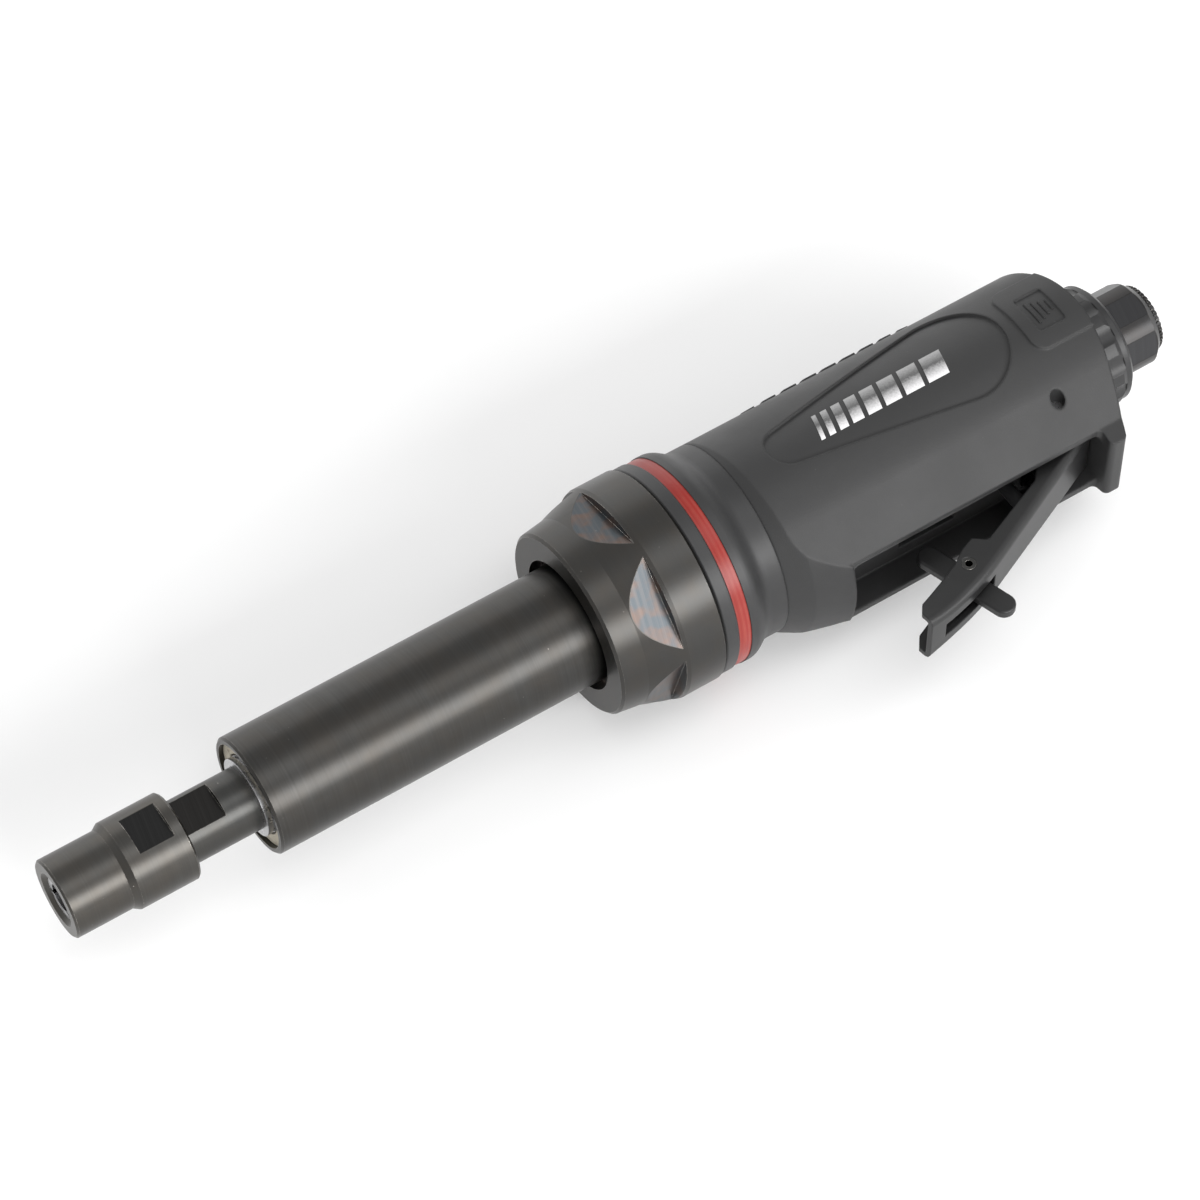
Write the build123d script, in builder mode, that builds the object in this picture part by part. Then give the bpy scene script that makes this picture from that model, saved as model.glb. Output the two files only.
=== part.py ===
from build123d import *
from math import cos, radians, sin, tan
import os

os.makedirs("parts", exist_ok=True)

# Long-reach air die grinder, in millimetres.
# X runs along the spindle, from the collet nut's face (the origin) back to the air inlet.
# The throttle lever hangs towards -Y, and +Z is the side that faces up when the tool lies down.

# ---- Fits and clearances ----
running_gap = 0.05          # radial gap between a turning piece and its bore
seat_gap = 0.02             # radial gap between pieces that are assembled tight
side_gap = 0.4              # gap between a moving piece and whatever stands beside it

# ---- Collet and collet nut ----
shank_radius = 3.0          # takes a 6 mm shank
collet_set_back = 0.8       # collet face behind the nut's face
collet_length = 17.0
collet_face_radius = 4.5
collet_head_radius = 5.5
collet_head_length = 5.6
collet_cone_length = 2.4
collet_shoulder_radius = 5.2
collet_tail_radius = 4.0
collet_slit_width = 0.9
collet_slit_length = 13.0
collet_slit_count = 3
nut_length = 27.2
nut_front_radius = 8.6
nut_rear_radius = 9.55
nut_barrel_length = 12.6    # front barrel, up to where it starts to swell
nut_shoulder_length = 1.5
nut_mouth_radius = 6.0
nut_mouth_depth = 1.2
nut_edge_break = 0.45
nut_flats_width = 17.0
nut_flats_x = 17.0
nut_flats_length = 7.7

# ---- Spindle ----
spindle_radius = 6.9
spindle_nose_x = 7.2
spindle_nose_radius = 6.4   # male thread for the collet nut, at its mean size
spindle_seat_radius = 5.0   # bearing seats
spindle_relief_radius = 3.4
spindle_relief_x = 30.0     # bottom of the hollow behind the collet
spindle_tail_radius = 4.2
spindle_flats_width = 11.0
spindle_flats_length = 8.6
flats_angle = 93.0          # turn of the spanner flats about the axis

# ---- Extension tube ----
tube_front_x = 43.4
tube_radius = 13.0
tube_edge_break = 0.5
tube_mouth_radius = 11.6
tube_mouth_depth = 6.0
tube_lip_radius = 9.6       # inward lip between the seal and the first bearing
tube_lip_width = 2.0
tube_flange_radius = 18.4
tube_flange_width = 4.0
slinger_radius = 8.6
slinger_width = 3.4
slinger_overhang = 0.5      # stands out of the tube's mouth
slinger_groove = 0.7
felt_width = 2.6
felt_set_back = 1.1

# ---- Spindle ball bearings, 10 x 22 x 6 ----
bearing_radius = 11.0
bearing_width = 6.0
bearing_ball_radius = 1.75
bearing_ball_count = 9
bearing_wall = 1.9
bearing_spacer_width = 3.0
preload_width = 1.5
preload_inner_radius = 8.2

# ---- Drive coupling ----
coupling_radius = 8.4
coupling_length = 17.0
coupling_set_back = 1.0
coupling_overlap = 8.0

# ---- Clamp nut ----
clamp_set_back = 75.0       # from the tube's mouth to the nut's front face
clamp_length = 23.1
clamp_radius = 23.95
clamp_face_radius = 20.5
clamp_neck_radius = 21.2
clamp_neck_length = 5.8
clamp_cone_length = 14.2
clamp_flats_width = 42.5
clamp_flats_length = 13.3
clamp_flats_count = 6
clamp_flats_phase = 14.3
clamp_mouth_radius = 14.7
clamp_mouth_depth = 3.0
clamp_web = 6.0             # front wall, back to the tube's flange
clamp_thread_radius = 19.0
clamp_edge_break = 0.6

# ---- Rings between the clamp nut and the handle ----
spacer_width = 3.3
spacer_radius = 23.6
band_width = 2.8
band_radius = 23.4
band_crown = 0.3
collar_width = 10.2
collar_front_radius = 23.6
collar_rear_radius = 21.5
collar_front_land = 1.6
collar_shoulder_width = 6.6
trim_edge_break = 0.35

# ---- Air motor ----
motor_flange_radius = 20.0
motor_sleeve_radius = 15.8
motor_front_bore = 11.5
motor_bore_radius = 14.2
motor_set_back = 7.8        # the front plate starts this far ahead of the handle
plate_width = 10.0
plate_web = 3.0
plate_shaft_gap = 0.6
plate_port_radius = 1.1
plate_port_circle = 12.6
plate_port_angle = 16.0
liner_length = 34.0
liner_bore_radius = 11.6
liner_offset = 1.25         # the liner's bore stands off the axis, towards the lever
rotor_radius = 10.2
rotor_end_gap = 0.15
rotor_shaft_radius = 4.0
blade_count = 5
blade_thickness = 1.6
blade_depth = 4.6
blade_slot_margin = 0.4
motor_bearing_width = 7.0
motor_ball_radius = 2.2
motor_ball_count = 7
motor_bearing_wall = 1.9
dowel_radius = 0.9
dowel_length = 8.0
gasket_width = 0.6
gasket_inner_radius = 13.9

# ---- Handle housing ----
housing_length = 84.6       # to the crown of its rear face
rear_crown_depth = 4.0      # the bulging rear face stands furthest back here
rear_back_drop = 6.0        # it curves forward by this much at the grip's back
rear_keel_drop = 5.2        # and by this much at the bottom of the keel
grip_radius = 22.5
grip_drop = 1.2             # the grip's centre lies this far towards the lever
flank_angle = 40.0          # lean of the keel's two flanks
keel_depth = 28.8           # from the axis to the bottom of the rear lip
keel_half_width = 8.5
keel_round = 1.6
wall_depth = 24.7           # from the axis to the edge of the trough's walls
nose_length = 5.0           # steep first part of the nose
nose_slope = 0.55
block_slope = 0.33
trough_set_back = 13.2
trough_length = 62.5
trough_half_width = 8.2
trough_floor = 18.2
trough_round = 2.4
lip_round = 2.4
pocket_length = 14.5        # deeper end of the trough, round the lever's pivot
pocket_floor = 12.1
window_set_back = 30.0
window_length = 14.0
window_half_width = 5.0
stem_hole_gap = 0.3
rear_chamber_radius = 10.65
thread_length = 10.0

# ---- Side panels and corner pads of the handle ----
panel_rear_x = 55.6         # centre of the wide end, from the handle's front
panel_rear_radius = 12.0
panel_front_x = 14.0
panel_front_radius = 5.0
panel_rise = 1.2
panel_depth = 0.6
pad_x = 70.4
pad_height = 18.6
pad_rise = 0.6
pad_round = 3.2
pad_level = 0.45
mark_x = 73.6
mark_length = 6.6
mark_height = 9.8
mark_round = 0.8
mark_depth = 0.4

# ---- Grip inlay on the back of the handle ----
inlay_middle = 37.2         # its middle, from the handle's front
inlay_length = 64.0
inlay_half_width = 12.0
inlay_thickness = 1.6
inlay_rib_count = 9
inlay_rib_pitch = 4.9
inlay_rib_width = 2.9
inlay_rib_height = 0.4

# ---- Throttle lever: u runs from the pivot to the tip, v points away from the handle ----
lever_open_angle = 21.2
lever_pivot_set_back = 69.6
lever_pivot_depth = 17.0
lever_length = 56.0
lever_sheet = 1.3
lever_root_height = 6.6
lever_crown_u = 34.0
lever_crown_height = 9.05
lever_tip_height = 6.9
lever_edge_height = 4.5     # side flanges reach down to here
lever_ear_u = 35.2
lever_ear_width = 3.4
lever_ear_height = 1.45
lever_toe_height = 2.5
lever_heel_radius = 4.4
lever_root_half_width = 6.9
lever_waist_u = 45.0
lever_waist_half_width = 5.75
lever_tip_half_width = 6.7
lever_outer_round = 1.8
pivot_pin_radius = 1.6
pivot_pin_half_length = 13.2

# ---- Safety latch ----
latch_u = 39.05
latch_v = 4.5
latch_pin_radius = 1.5
latch_pin_bore = 0.8
latch_inner_reach = 9.4     # from the pin to the middle of the inner round end
latch_outer_reach = 9.5
latch_tab_lean = 1.0        # the tab stands this much nearer the lever's tip
latch_half_width = 2.5
latch_thickness = 2.2
latch_edge_round = 0.5
slot_front_u = 52.0
slot_half_width = 2.1
latch_spring_wire = 0.25
latch_spring_turns = 4
latch_spring_length = 2.6

# ---- Throttle valve ----
valve_set_back = 14.4       # valve stem ahead of the lever's pivot
valve_body_radius = 10.9
valve_body_length = 14.4
chamber_radius = 3.7
chamber_top = 8.4
inlet_port_radius = 2.6
inlet_port_rise = 2.4
motor_port_radius = 1.6
motor_port_depth = 7.6
stem_radius = 1.6
stem_dome_depth = 27.7      # from the axis to the middle of the stem's domed end
stem_head_radius = 3.2
stem_head_width = 1.5
stem_seal_width = 0.8
stem_seal_gap = 0.1
bushing_radius = 4.0
bushing_top = 5.2
bushing_bottom = 15.2
bushing_throat_radius = 2.6
bushing_throat_bottom = 10.2
valve_spring_wire = 0.25
valve_spring_radius = 2.4
valve_spring_turns = 4

# ---- Air inlet and regulator ring ----
ring_overlap = 1.4          # ring sunk into the rear of the handle
ring_length = 11.1
ring_radius = 13.75
ring_flute_count = 12
ring_flute_radius = 5.0
ring_flute_depth = 0.7
ring_rim_radius = 13.3
ring_rim_width = 2.3
ring_end_radius = 12.2
ring_spigot_radius = 10.6
ring_spigot_length = 5.0
ring_well_radius = 14.3
ring_well_depth = 1.2
trim_width = 0.5
trim_radius = 13.6
bushing_body_radius = 7.8
inlet_gap = 0.5
inlet_bar_radius = 9.5
inlet_bar_length = 8.2
inlet_cone_length = 1.7
inlet_cone_radius = 8.0
inlet_flats_width = 18.0
inlet_flats_count = 6
inlet_flats_phase = 102.4
inlet_lip_radius = 7.4
inlet_lip_length = 1.3
inlet_teeth = 36
inlet_tooth_width = 0.5
inlet_thread_radius = 5.72  # G 1/4 minor size
inlet_thread_depth = 13.0
inlet_bore_radius = 4.2
screen_length = 7.0
screen_wall = 0.5
silencer_length = 5.0

# ---- Places worked out from the sizes above ----
clamp_x = tube_front_x + clamp_set_back
flange_x = clamp_x + clamp_web
motor_x = flange_x + tube_flange_width
spacer_x = clamp_x + clamp_length
band_x = spacer_x + spacer_width
collar_x = band_x + band_width
housing_x = collar_x + collar_width
housing_rear_x = housing_x + housing_length
front_plate_x = housing_x - motor_set_back
liner_x = front_plate_x + plate_width
rear_plate_x = liner_x + liner_length
motor_rear_x = rear_plate_x + plate_width
valve_body_x = motor_rear_x + gasket_width
valve_body_rear_x = valve_body_x + valve_body_length
thread_rear_x = valve_body_rear_x + thread_length
pivot_x = housing_x + lever_pivot_set_back
valve_x = pivot_x - valve_set_back
trough_x = housing_x + trough_set_back
trough_rear_x = trough_x + trough_length
ring_x = housing_rear_x - ring_overlap
ring_rear_x = ring_x + ring_length
bar_x = ring_rear_x + side_gap
cone_x = bar_x + inlet_bar_length
lip_x = cone_x + inlet_cone_length
inlet_x = lip_x + inlet_lip_length

first_bearing_x = tube_front_x + tube_mouth_depth + tube_lip_width
second_bearing_x = first_bearing_x + bearing_width + bearing_spacer_width
rear_bearing_x = motor_x - preload_width - bearing_width
spindle_bearings = [first_bearing_x, second_bearing_x, rear_bearing_x]
motor_bearings = [liner_x - plate_web - motor_bearing_width, rear_plate_x + plate_web]
coupling_x = motor_x + coupling_set_back
spindle_rear_x = coupling_x + coupling_overlap
rotor_front_x = spindle_rear_x + side_gap
bearing_pitch = (spindle_seat_radius + bearing_radius) / 2
motor_bearing_pitch = (rotor_shaft_radius + bearing_radius) / 2
slinger_x = tube_front_x - slinger_overhang

lever_turn = radians(lever_open_angle)
lever_plane = Plane(
    origin=(pivot_x, -lever_pivot_depth, 0),
    x_dir=(-cos(lever_turn), -sin(lever_turn), 0),
    z_dir=(0, 0, 1),
)
lever_plan = Plane(
    origin=lever_plane.origin,
    x_dir=lever_plane.x_dir,
    z_dir=lever_plane.y_dir,
)
valve_axis = Axis((valve_x, 0, 0), (0, 1, 0))


def turn(points, mode=Mode.ADD):
    """Turn a closed profile of (x, radius) points about the tool's axis."""
    with BuildSketch(Plane.XY) as profile:
        with BuildLine():
            Polyline(*points, close=True)
        make_face()
    revolve(profile.sketch, axis=Axis.X, mode=mode)


def sleeve(start, end, inner, outer, mode=Mode.ADD):
    """A plain ring or, with no inner radius, a disc, from one x to another."""
    turn([(start, inner), (end, inner), (end, outer), (start, outer)], mode)


def turn_valve(points, mode=Mode.ADD):
    """Turn a closed profile of (radius, depth) points about the valve's axis."""
    with BuildSketch(Plane.XY) as profile:
        with BuildLine():
            Polyline(*[(valve_x + radius, -depth) for radius, depth in points], close=True)
        make_face()
    revolve(profile.sketch, axis=valve_axis, mode=mode)


def mill_flats(start, length, across, count, phase, reach):
    """Cut count flats round the axis, across apart, on what reaches out to reach."""
    with BuildSketch(Plane.YZ.offset(start)) as cuts:
        with PolarLocations(across / 2, count, start_angle=phase):
            Rectangle(reach, 4 * reach, align=(Align.MIN, Align.CENTER))
    extrude(cuts.sketch, amount=length, mode=Mode.SUBTRACT)


def race(start, width, inner, outer, pitch, ball, mode=Mode.ADD):
    """One bearing ring with its ball groove."""
    sleeve(start, start + width, inner, outer, mode)
    with BuildSketch(Plane.XY) as groove:
        with Locations((start + width / 2, pitch)):
            Circle(ball + seat_gap)
    revolve(groove.sketch, axis=Axis.X, mode=Mode.SUBTRACT)


def balls(start, width, pitch, ball, count):
    """The ring of balls of one bearing."""
    with Locations(Plane.YZ.offset(start + width / 2)):
        with PolarLocations(pitch, count):
            Sphere(ball)


def side_skin(outline, low, high):
    """The grip's skin between two radii, on both sides, behind an outline drawn in XY."""
    with BuildPart() as skin:
        with BuildSketch(Plane.YZ.offset(housing_x)):
            with Locations((-grip_drop, 0)):
                Circle(high)
                Circle(low, mode=Mode.SUBTRACT)
        extrude(amount=housing_length + grip_radius)
        extrude(outline, amount=2 * grip_radius, both=True, mode=Mode.INTERSECT)
    return skin.part


def lever_bulk(inset):
    """The lever's rounded envelope, shrunk by inset, open towards the handle."""
    root_u = -2 * lever_heel_radius
    end_u = lever_length + 2 * lever_heel_radius
    with BuildPart() as bulk:
        with BuildSketch(lever_plane):
            with BuildLine():
                back = Line(
                    (root_u, lever_root_height - inset),
                    (lever_crown_u, lever_crown_height - inset),
                )
                front = TangentArc(
                    (lever_crown_u, lever_crown_height - inset),
                    (lever_length, lever_tip_height - inset),
                    tangent=back % 1,
                )
                nose = Line(front @ 1, front @ 1 + (front % 1) * (2 * lever_heel_radius))
                Polyline(nose @ 1, (end_u, -lever_length), (root_u, -lever_length), back @ 0)
            make_face()
        extrude(amount=2 * lever_root_half_width, both=True)
        with BuildSketch(lever_plan):
            with BuildLine():
                rear = Line(
                    (root_u, lever_root_half_width - inset),
                    (lever_waist_u, lever_waist_half_width - inset),
                )
                flare = TangentArc(
                    (lever_waist_u, lever_waist_half_width - inset),
                    (lever_length, lever_tip_half_width - inset),
                    tangent=rear % 1,
                )
                tip = Line(flare @ 1, flare @ 1 + (flare % 1) * (2 * lever_heel_radius))
                Polyline(tip @ 1, (end_u, 0), (root_u, 0), rear @ 0)
            make_face()
            mirror(about=Plane.XZ)
        extrude(amount=2 * lever_length, both=True, mode=Mode.INTERSECT)
        ridge = [
            edge
            for edge in bulk.edges()
            if abs(edge.center().Z) > lever_waist_half_width / 2
            and lever_plane.to_local_coords(edge.center()).Y > lever_root_height / 2
            and abs((edge % 0.5).dot(lever_plane.x_dir)) > 0.9
        ]
        fillet(ridge, lever_outer_round - inset)
    return bulk.part


# ---- Collet, collet nut and spindle ----
collet_x = collet_set_back
collet_head_x = collet_x + collet_head_length
collet_rear_x = collet_x + collet_length
with BuildPart() as collet:
    turn([
        (collet_x, shank_radius),
        (collet_x, collet_face_radius),
        (collet_x + collet_cone_length, collet_head_radius),
        (collet_head_x, collet_head_radius),
        (collet_head_x, collet_shoulder_radius),
        (collet_rear_x, collet_tail_radius),
        (collet_rear_x, shank_radius),
    ])
    with BuildSketch(Plane.YZ.offset(collet_x)):
        with PolarLocations(0, collet_slit_count, start_angle=flats_angle):
            Rectangle(collet_head_radius * 2, collet_slit_width, align=(Align.MIN, Align.CENTER))
    extrude(amount=collet_slit_length, mode=Mode.SUBTRACT)

nut_shoulder_x = nut_barrel_length + nut_shoulder_length
nut_cone_gap = side_gap
nut_lip_radius = collet_face_radius + nut_cone_gap
nut_bore_radius = spindle_nose_radius + running_gap
with BuildPart() as collet_nut:
    turn([
        (0, nut_mouth_radius),
        (0, nut_front_radius - nut_edge_break),
        (nut_edge_break, nut_front_radius),
        (nut_barrel_length, nut_front_radius),
        (nut_shoulder_x, nut_rear_radius),
        (nut_length - nut_edge_break, nut_rear_radius),
        (nut_length, nut_rear_radius - nut_edge_break),
        (nut_length, nut_bore_radius),
        (collet_head_x, nut_bore_radius),
        (collet_x + collet_cone_length, collet_head_radius + nut_cone_gap),
        (nut_mouth_depth, nut_lip_radius),
    ])
    mill_flats(nut_flats_x, nut_flats_length, nut_flats_width, 2, flats_angle, nut_rear_radius)

with BuildPart() as spindle:
    taper = (collet_shoulder_radius - collet_tail_radius) / (collet_length - collet_head_length)
    bore_front = collet_shoulder_radius - taper * (spindle_nose_x - collet_head_x)
    turn([
        (spindle_nose_x, bore_front + seat_gap),
        (spindle_nose_x, spindle_nose_radius),
        (nut_length + side_gap, spindle_nose_radius),
        (nut_length + side_gap, spindle_radius),
        (first_bearing_x, spindle_radius),
        (first_bearing_x, spindle_seat_radius),
        (motor_x, spindle_seat_radius),
        (motor_x, spindle_tail_radius),
        (spindle_rear_x, spindle_tail_radius),
        (spindle_rear_x, 0),
        (spindle_relief_x, 0),
        (spindle_relief_x, spindle_relief_radius),
        (collet_rear_x, spindle_relief_radius),
        (collet_rear_x, collet_tail_radius + seat_gap),
    ])
    mill_flats(
        nut_length + side_gap,
        spindle_flats_length,
        spindle_flats_width,
        2,
        flats_angle,
        spindle_radius,
    )

with BuildPart() as oil_slinger:
    sleeve(slinger_x, slinger_x + slinger_width, spindle_radius + seat_gap, slinger_radius)
    sleeve(
        slinger_x + slinger_width / 3,
        slinger_x + slinger_width / 2,
        slinger_radius - slinger_groove,
        slinger_radius,
        Mode.SUBTRACT,
    )

# ---- Extension tube, its seal and its bearings ----
felt_x = tube_front_x + felt_set_back
with BuildPart() as extension_tube:
    turn([
        (tube_front_x, tube_mouth_radius),
        (tube_front_x, tube_radius - tube_edge_break),
        (tube_front_x + tube_edge_break, tube_radius),
        (flange_x, tube_radius),
        (flange_x, tube_flange_radius),
        (motor_x, tube_flange_radius),
        (motor_x, bearing_radius + seat_gap),
        (first_bearing_x, bearing_radius + seat_gap),
        (first_bearing_x, tube_lip_radius),
        (first_bearing_x - tube_lip_width, tube_lip_radius),
        (first_bearing_x - tube_lip_width, tube_mouth_radius),
    ])

with BuildPart() as felt_seal:
    sleeve(felt_x, felt_x + felt_width, slinger_radius + side_gap, tube_mouth_radius - seat_gap)

with BuildPart() as seal_washer:
    sleeve(
        felt_x + felt_width,
        first_bearing_x - tube_lip_width,
        spindle_radius + side_gap,
        tube_mouth_radius - seat_gap,
    )

with BuildPart() as spindle_outer_races:
    for start in spindle_bearings:
        race(
            start,
            bearing_width,
            bearing_radius - bearing_wall,
            bearing_radius,
            bearing_pitch,
            bearing_ball_radius + running_gap,
        )

with BuildPart() as spindle_inner_races:
    for start in spindle_bearings:
        race(
            start,
            bearing_width,
            spindle_seat_radius + seat_gap,
            spindle_seat_radius + bearing_wall,
            bearing_pitch,
            bearing_ball_radius,
        )

with BuildPart() as spindle_balls:
    for start in spindle_bearings:
        balls(start, bearing_width, bearing_pitch, bearing_ball_radius, bearing_ball_count)

with BuildPart() as bearing_spacer:
    sleeve(
        first_bearing_x + bearing_width,
        second_bearing_x,
        bearing_radius - bearing_wall,
        bearing_radius,
    )

with BuildPart() as bearing_distance_sleeve:
    sleeve(
        second_bearing_x + bearing_width,
        rear_bearing_x,
        bearing_radius - bearing_wall / 2,
        bearing_radius,
    )

with BuildPart() as preload_washer:
    sleeve(rear_bearing_x + bearing_width, motor_x, preload_inner_radius, bearing_radius)

with BuildPart() as drive_coupling:
    turn([
        (coupling_x, spindle_tail_radius + seat_gap),
        (coupling_x, coupling_radius),
        (coupling_x + coupling_length, coupling_radius),
        (coupling_x + coupling_length, rotor_shaft_radius + seat_gap),
        (rotor_front_x, rotor_shaft_radius + seat_gap),
        (rotor_front_x, spindle_tail_radius + seat_gap),
    ])

# ---- Clamp nut and the rings behind it ----
with BuildPart() as clamp_nut:
    turn([
        (clamp_x, clamp_mouth_radius),
        (clamp_x, clamp_face_radius - clamp_edge_break),
        (clamp_x + clamp_edge_break, clamp_face_radius),
        (clamp_x + clamp_neck_length, clamp_neck_radius),
        (clamp_x + clamp_cone_length, clamp_radius),
        (spacer_x - clamp_edge_break, clamp_radius),
        (spacer_x, clamp_radius - clamp_edge_break),
        (spacer_x, clamp_thread_radius),
        (flange_x, clamp_thread_radius),
        (flange_x, tube_radius + running_gap),
        (clamp_x + clamp_mouth_depth, tube_radius + running_gap),
        (clamp_x + clamp_mouth_depth, clamp_mouth_radius),
    ])
    mill_flats(
        clamp_x,
        clamp_flats_length,
        clamp_flats_width,
        clamp_flats_count,
        clamp_flats_phase,
        clamp_radius,
    )

with BuildPart() as spacer_ring:
    turn([
        (spacer_x, motor_flange_radius + seat_gap),
        (spacer_x, spacer_radius - trim_edge_break),
        (spacer_x + trim_edge_break, spacer_radius),
        (band_x - trim_edge_break, spacer_radius),
        (band_x, spacer_radius - trim_edge_break),
        (band_x, motor_flange_radius + seat_gap),
    ])

with BuildPart() as colour_band:
    turn([
        (band_x, motor_flange_radius + seat_gap),
        (band_x, band_radius - band_crown),
        (band_x + band_width / 2, band_radius),
        (collar_x, band_radius),
        (collar_x, motor_flange_radius + seat_gap),
    ])

shoulder_x = collar_x + collar_front_land
with BuildPart() as front_collar:
    with BuildSketch(Plane.XY):
        with BuildLine():
            Line((collar_x, motor_flange_radius + seat_gap), (collar_x, collar_front_radius))
            Line((collar_x, collar_front_radius), (shoulder_x, collar_front_radius))
            Spline(
                (shoulder_x, collar_front_radius),
                (collar_x + collar_shoulder_width, collar_rear_radius),
                tangents=[(1, -0.1), (1, -0.05)],
            )
            Polyline(
                (collar_x + collar_shoulder_width, collar_rear_radius),
                (housing_x, collar_rear_radius),
                (housing_x, motor_flange_radius + seat_gap),
                (collar_x, motor_flange_radius + seat_gap),
            )
        make_face()
    revolve(axis=Axis.X)

# ---- Air motor ----
with BuildPart() as motor_housing:
    turn([
        (motor_x, motor_front_bore),
        (motor_x, clamp_thread_radius - seat_gap),
        (spacer_x, clamp_thread_radius - seat_gap),
        (spacer_x, motor_flange_radius),
        (housing_x, motor_flange_radius),
        (housing_x, motor_sleeve_radius),
        (motor_rear_x, motor_sleeve_radius),
        (motor_rear_x, motor_bore_radius),
        (front_plate_x, motor_bore_radius),
        (front_plate_x, motor_front_bore),
    ])

plate_radius = motor_bore_radius - seat_gap
plate_bore = rotor_shaft_radius + plate_shaft_gap
with BuildPart() as front_end_plate:
    sleeve(front_plate_x, liner_x, plate_bore, plate_radius)
    sleeve(front_plate_x, liner_x - plate_web, 0, bearing_radius + seat_gap, Mode.SUBTRACT)

dowel_y = (plate_radius + bearing_radius) / 2
dowel_x = rear_plate_x - dowel_length / 2
with BuildPart() as rear_end_plate:
    sleeve(rear_plate_x, motor_rear_x, plate_bore, plate_radius)
    sleeve(rear_plate_x + plate_web, motor_rear_x, 0, bearing_radius + seat_gap, Mode.SUBTRACT)
    with BuildSketch(Plane.YZ.offset(rear_plate_x)):
        with Locations((dowel_y, 0)):
            Circle(dowel_radius)
    extrude(amount=dowel_length / 2, mode=Mode.SUBTRACT)
    with BuildSketch(Plane.YZ.offset(rear_plate_x)):
        for side in (-plate_port_angle, plate_port_angle):
            with PolarLocations(plate_port_circle, 1, start_angle=180 + side):
                Circle(plate_port_radius)
    extrude(amount=plate_width, mode=Mode.SUBTRACT)

with BuildPart() as locating_dowel:
    with BuildSketch(Plane.YZ.offset(dowel_x)):
        with Locations((dowel_y, 0)):
            Circle(dowel_radius)
    extrude(amount=dowel_length)

with BuildPart() as cylinder_liner:
    with BuildSketch(Plane.YZ.offset(liner_x)):
        Circle(plate_radius)
        with Locations((-liner_offset, 0)):
            Circle(liner_bore_radius, mode=Mode.SUBTRACT)
    extrude(amount=liner_length)
    with BuildSketch(Plane.YZ.offset(dowel_x)):
        with Locations((dowel_y, 0)):
            Circle(dowel_radius)
    extrude(amount=dowel_length / 2, mode=Mode.SUBTRACT)

rotor_x = liner_x + rotor_end_gap
rotor_length = liner_length - 2 * rotor_end_gap
slot_bottom = rotor_radius - blade_depth - blade_slot_margin
with BuildPart() as rotor:
    sleeve(rotor_x, rotor_x + rotor_length, 0, rotor_radius)
    with BuildSketch(Plane.YZ.offset(rotor_x)):
        with PolarLocations(slot_bottom, blade_count):
            Rectangle(
                rotor_radius,
                blade_thickness + 2 * running_gap,
                align=(Align.MIN, Align.CENTER),
            )
    extrude(amount=rotor_length, mode=Mode.SUBTRACT)
    sleeve(rotor_front_x, motor_rear_x, 0, rotor_shaft_radius)

with BuildPart() as rotor_blades:
    with BuildSketch(Plane.YZ.offset(rotor_x)):
        with PolarLocations(slot_bottom + blade_slot_margin / 2, blade_count):
            Rectangle(blade_depth, blade_thickness, align=(Align.MIN, Align.CENTER))
    extrude(amount=rotor_length)

with BuildPart() as motor_outer_races:
    for start in motor_bearings:
        race(
            start,
            motor_bearing_width,
            bearing_radius - motor_bearing_wall,
            bearing_radius,
            motor_bearing_pitch,
            motor_ball_radius + running_gap,
        )

with BuildPart() as motor_inner_races:
    for start in motor_bearings:
        race(
            start,
            motor_bearing_width,
            rotor_shaft_radius + seat_gap,
            rotor_shaft_radius + motor_bearing_wall,
            motor_bearing_pitch,
            motor_ball_radius,
        )

with BuildPart() as motor_balls:
    for start in motor_bearings:
        balls(
            start,
            motor_bearing_width,
            motor_bearing_pitch,
            motor_ball_radius,
            motor_ball_count,
        )

with BuildPart() as motor_gasket:
    sleeve(motor_rear_x, valve_body_x, gasket_inner_radius, motor_sleeve_radius)

# ---- Throttle valve ----
port_y = inlet_port_rise
with BuildPart() as valve_body:
    sleeve(valve_body_x, valve_body_rear_x, 0, valve_body_radius)
    turn_valve(
        [(0, -chamber_top), (chamber_radius, -chamber_top), (chamber_radius, bushing_top),
         (bushing_radius + seat_gap, bushing_top),
         (bushing_radius + seat_gap, valve_body_radius), (0, valve_body_radius)],
        Mode.SUBTRACT,
    )
    with BuildSketch(Plane.YZ.offset(valve_x)):
        with Locations((port_y, 0)):
            Circle(inlet_port_radius)
    extrude(amount=valve_body_length, mode=Mode.SUBTRACT)
    with BuildSketch(Plane.YZ.offset(valve_x)):
        with Locations((-motor_port_depth, 0)):
            Circle(motor_port_radius)
    extrude(amount=-valve_body_length, mode=Mode.SUBTRACT)

guide_radius = stem_radius + running_gap
with BuildPart() as valve_bushing:
    turn_valve([
        (bushing_throat_radius, bushing_top),
        (bushing_radius, bushing_top),
        (bushing_radius, bushing_bottom),
        (guide_radius, bushing_bottom),
        (guide_radius, bushing_throat_bottom),
        (bushing_throat_radius, bushing_throat_bottom),
    ])
    with BuildSketch(Plane.YZ.offset(valve_x)):
        with Locations((-motor_port_depth, 0)):
            Circle(motor_port_radius)
    extrude(amount=-bushing_radius - side_gap, mode=Mode.SUBTRACT)

seal_bottom = bushing_top - stem_seal_gap
head_bottom = seal_bottom - stem_seal_width
head_top = head_bottom - stem_head_width
with BuildPart() as valve_stem:
    turn_valve([
        (0, head_top),
        (stem_head_radius, head_top),
        (stem_head_radius, head_bottom),
        (stem_radius, head_bottom),
        (stem_radius, stem_dome_depth),
        (0, stem_dome_depth),
    ])
    with Locations((valve_x, -stem_dome_depth, 0)):
        Sphere(stem_radius)

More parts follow.
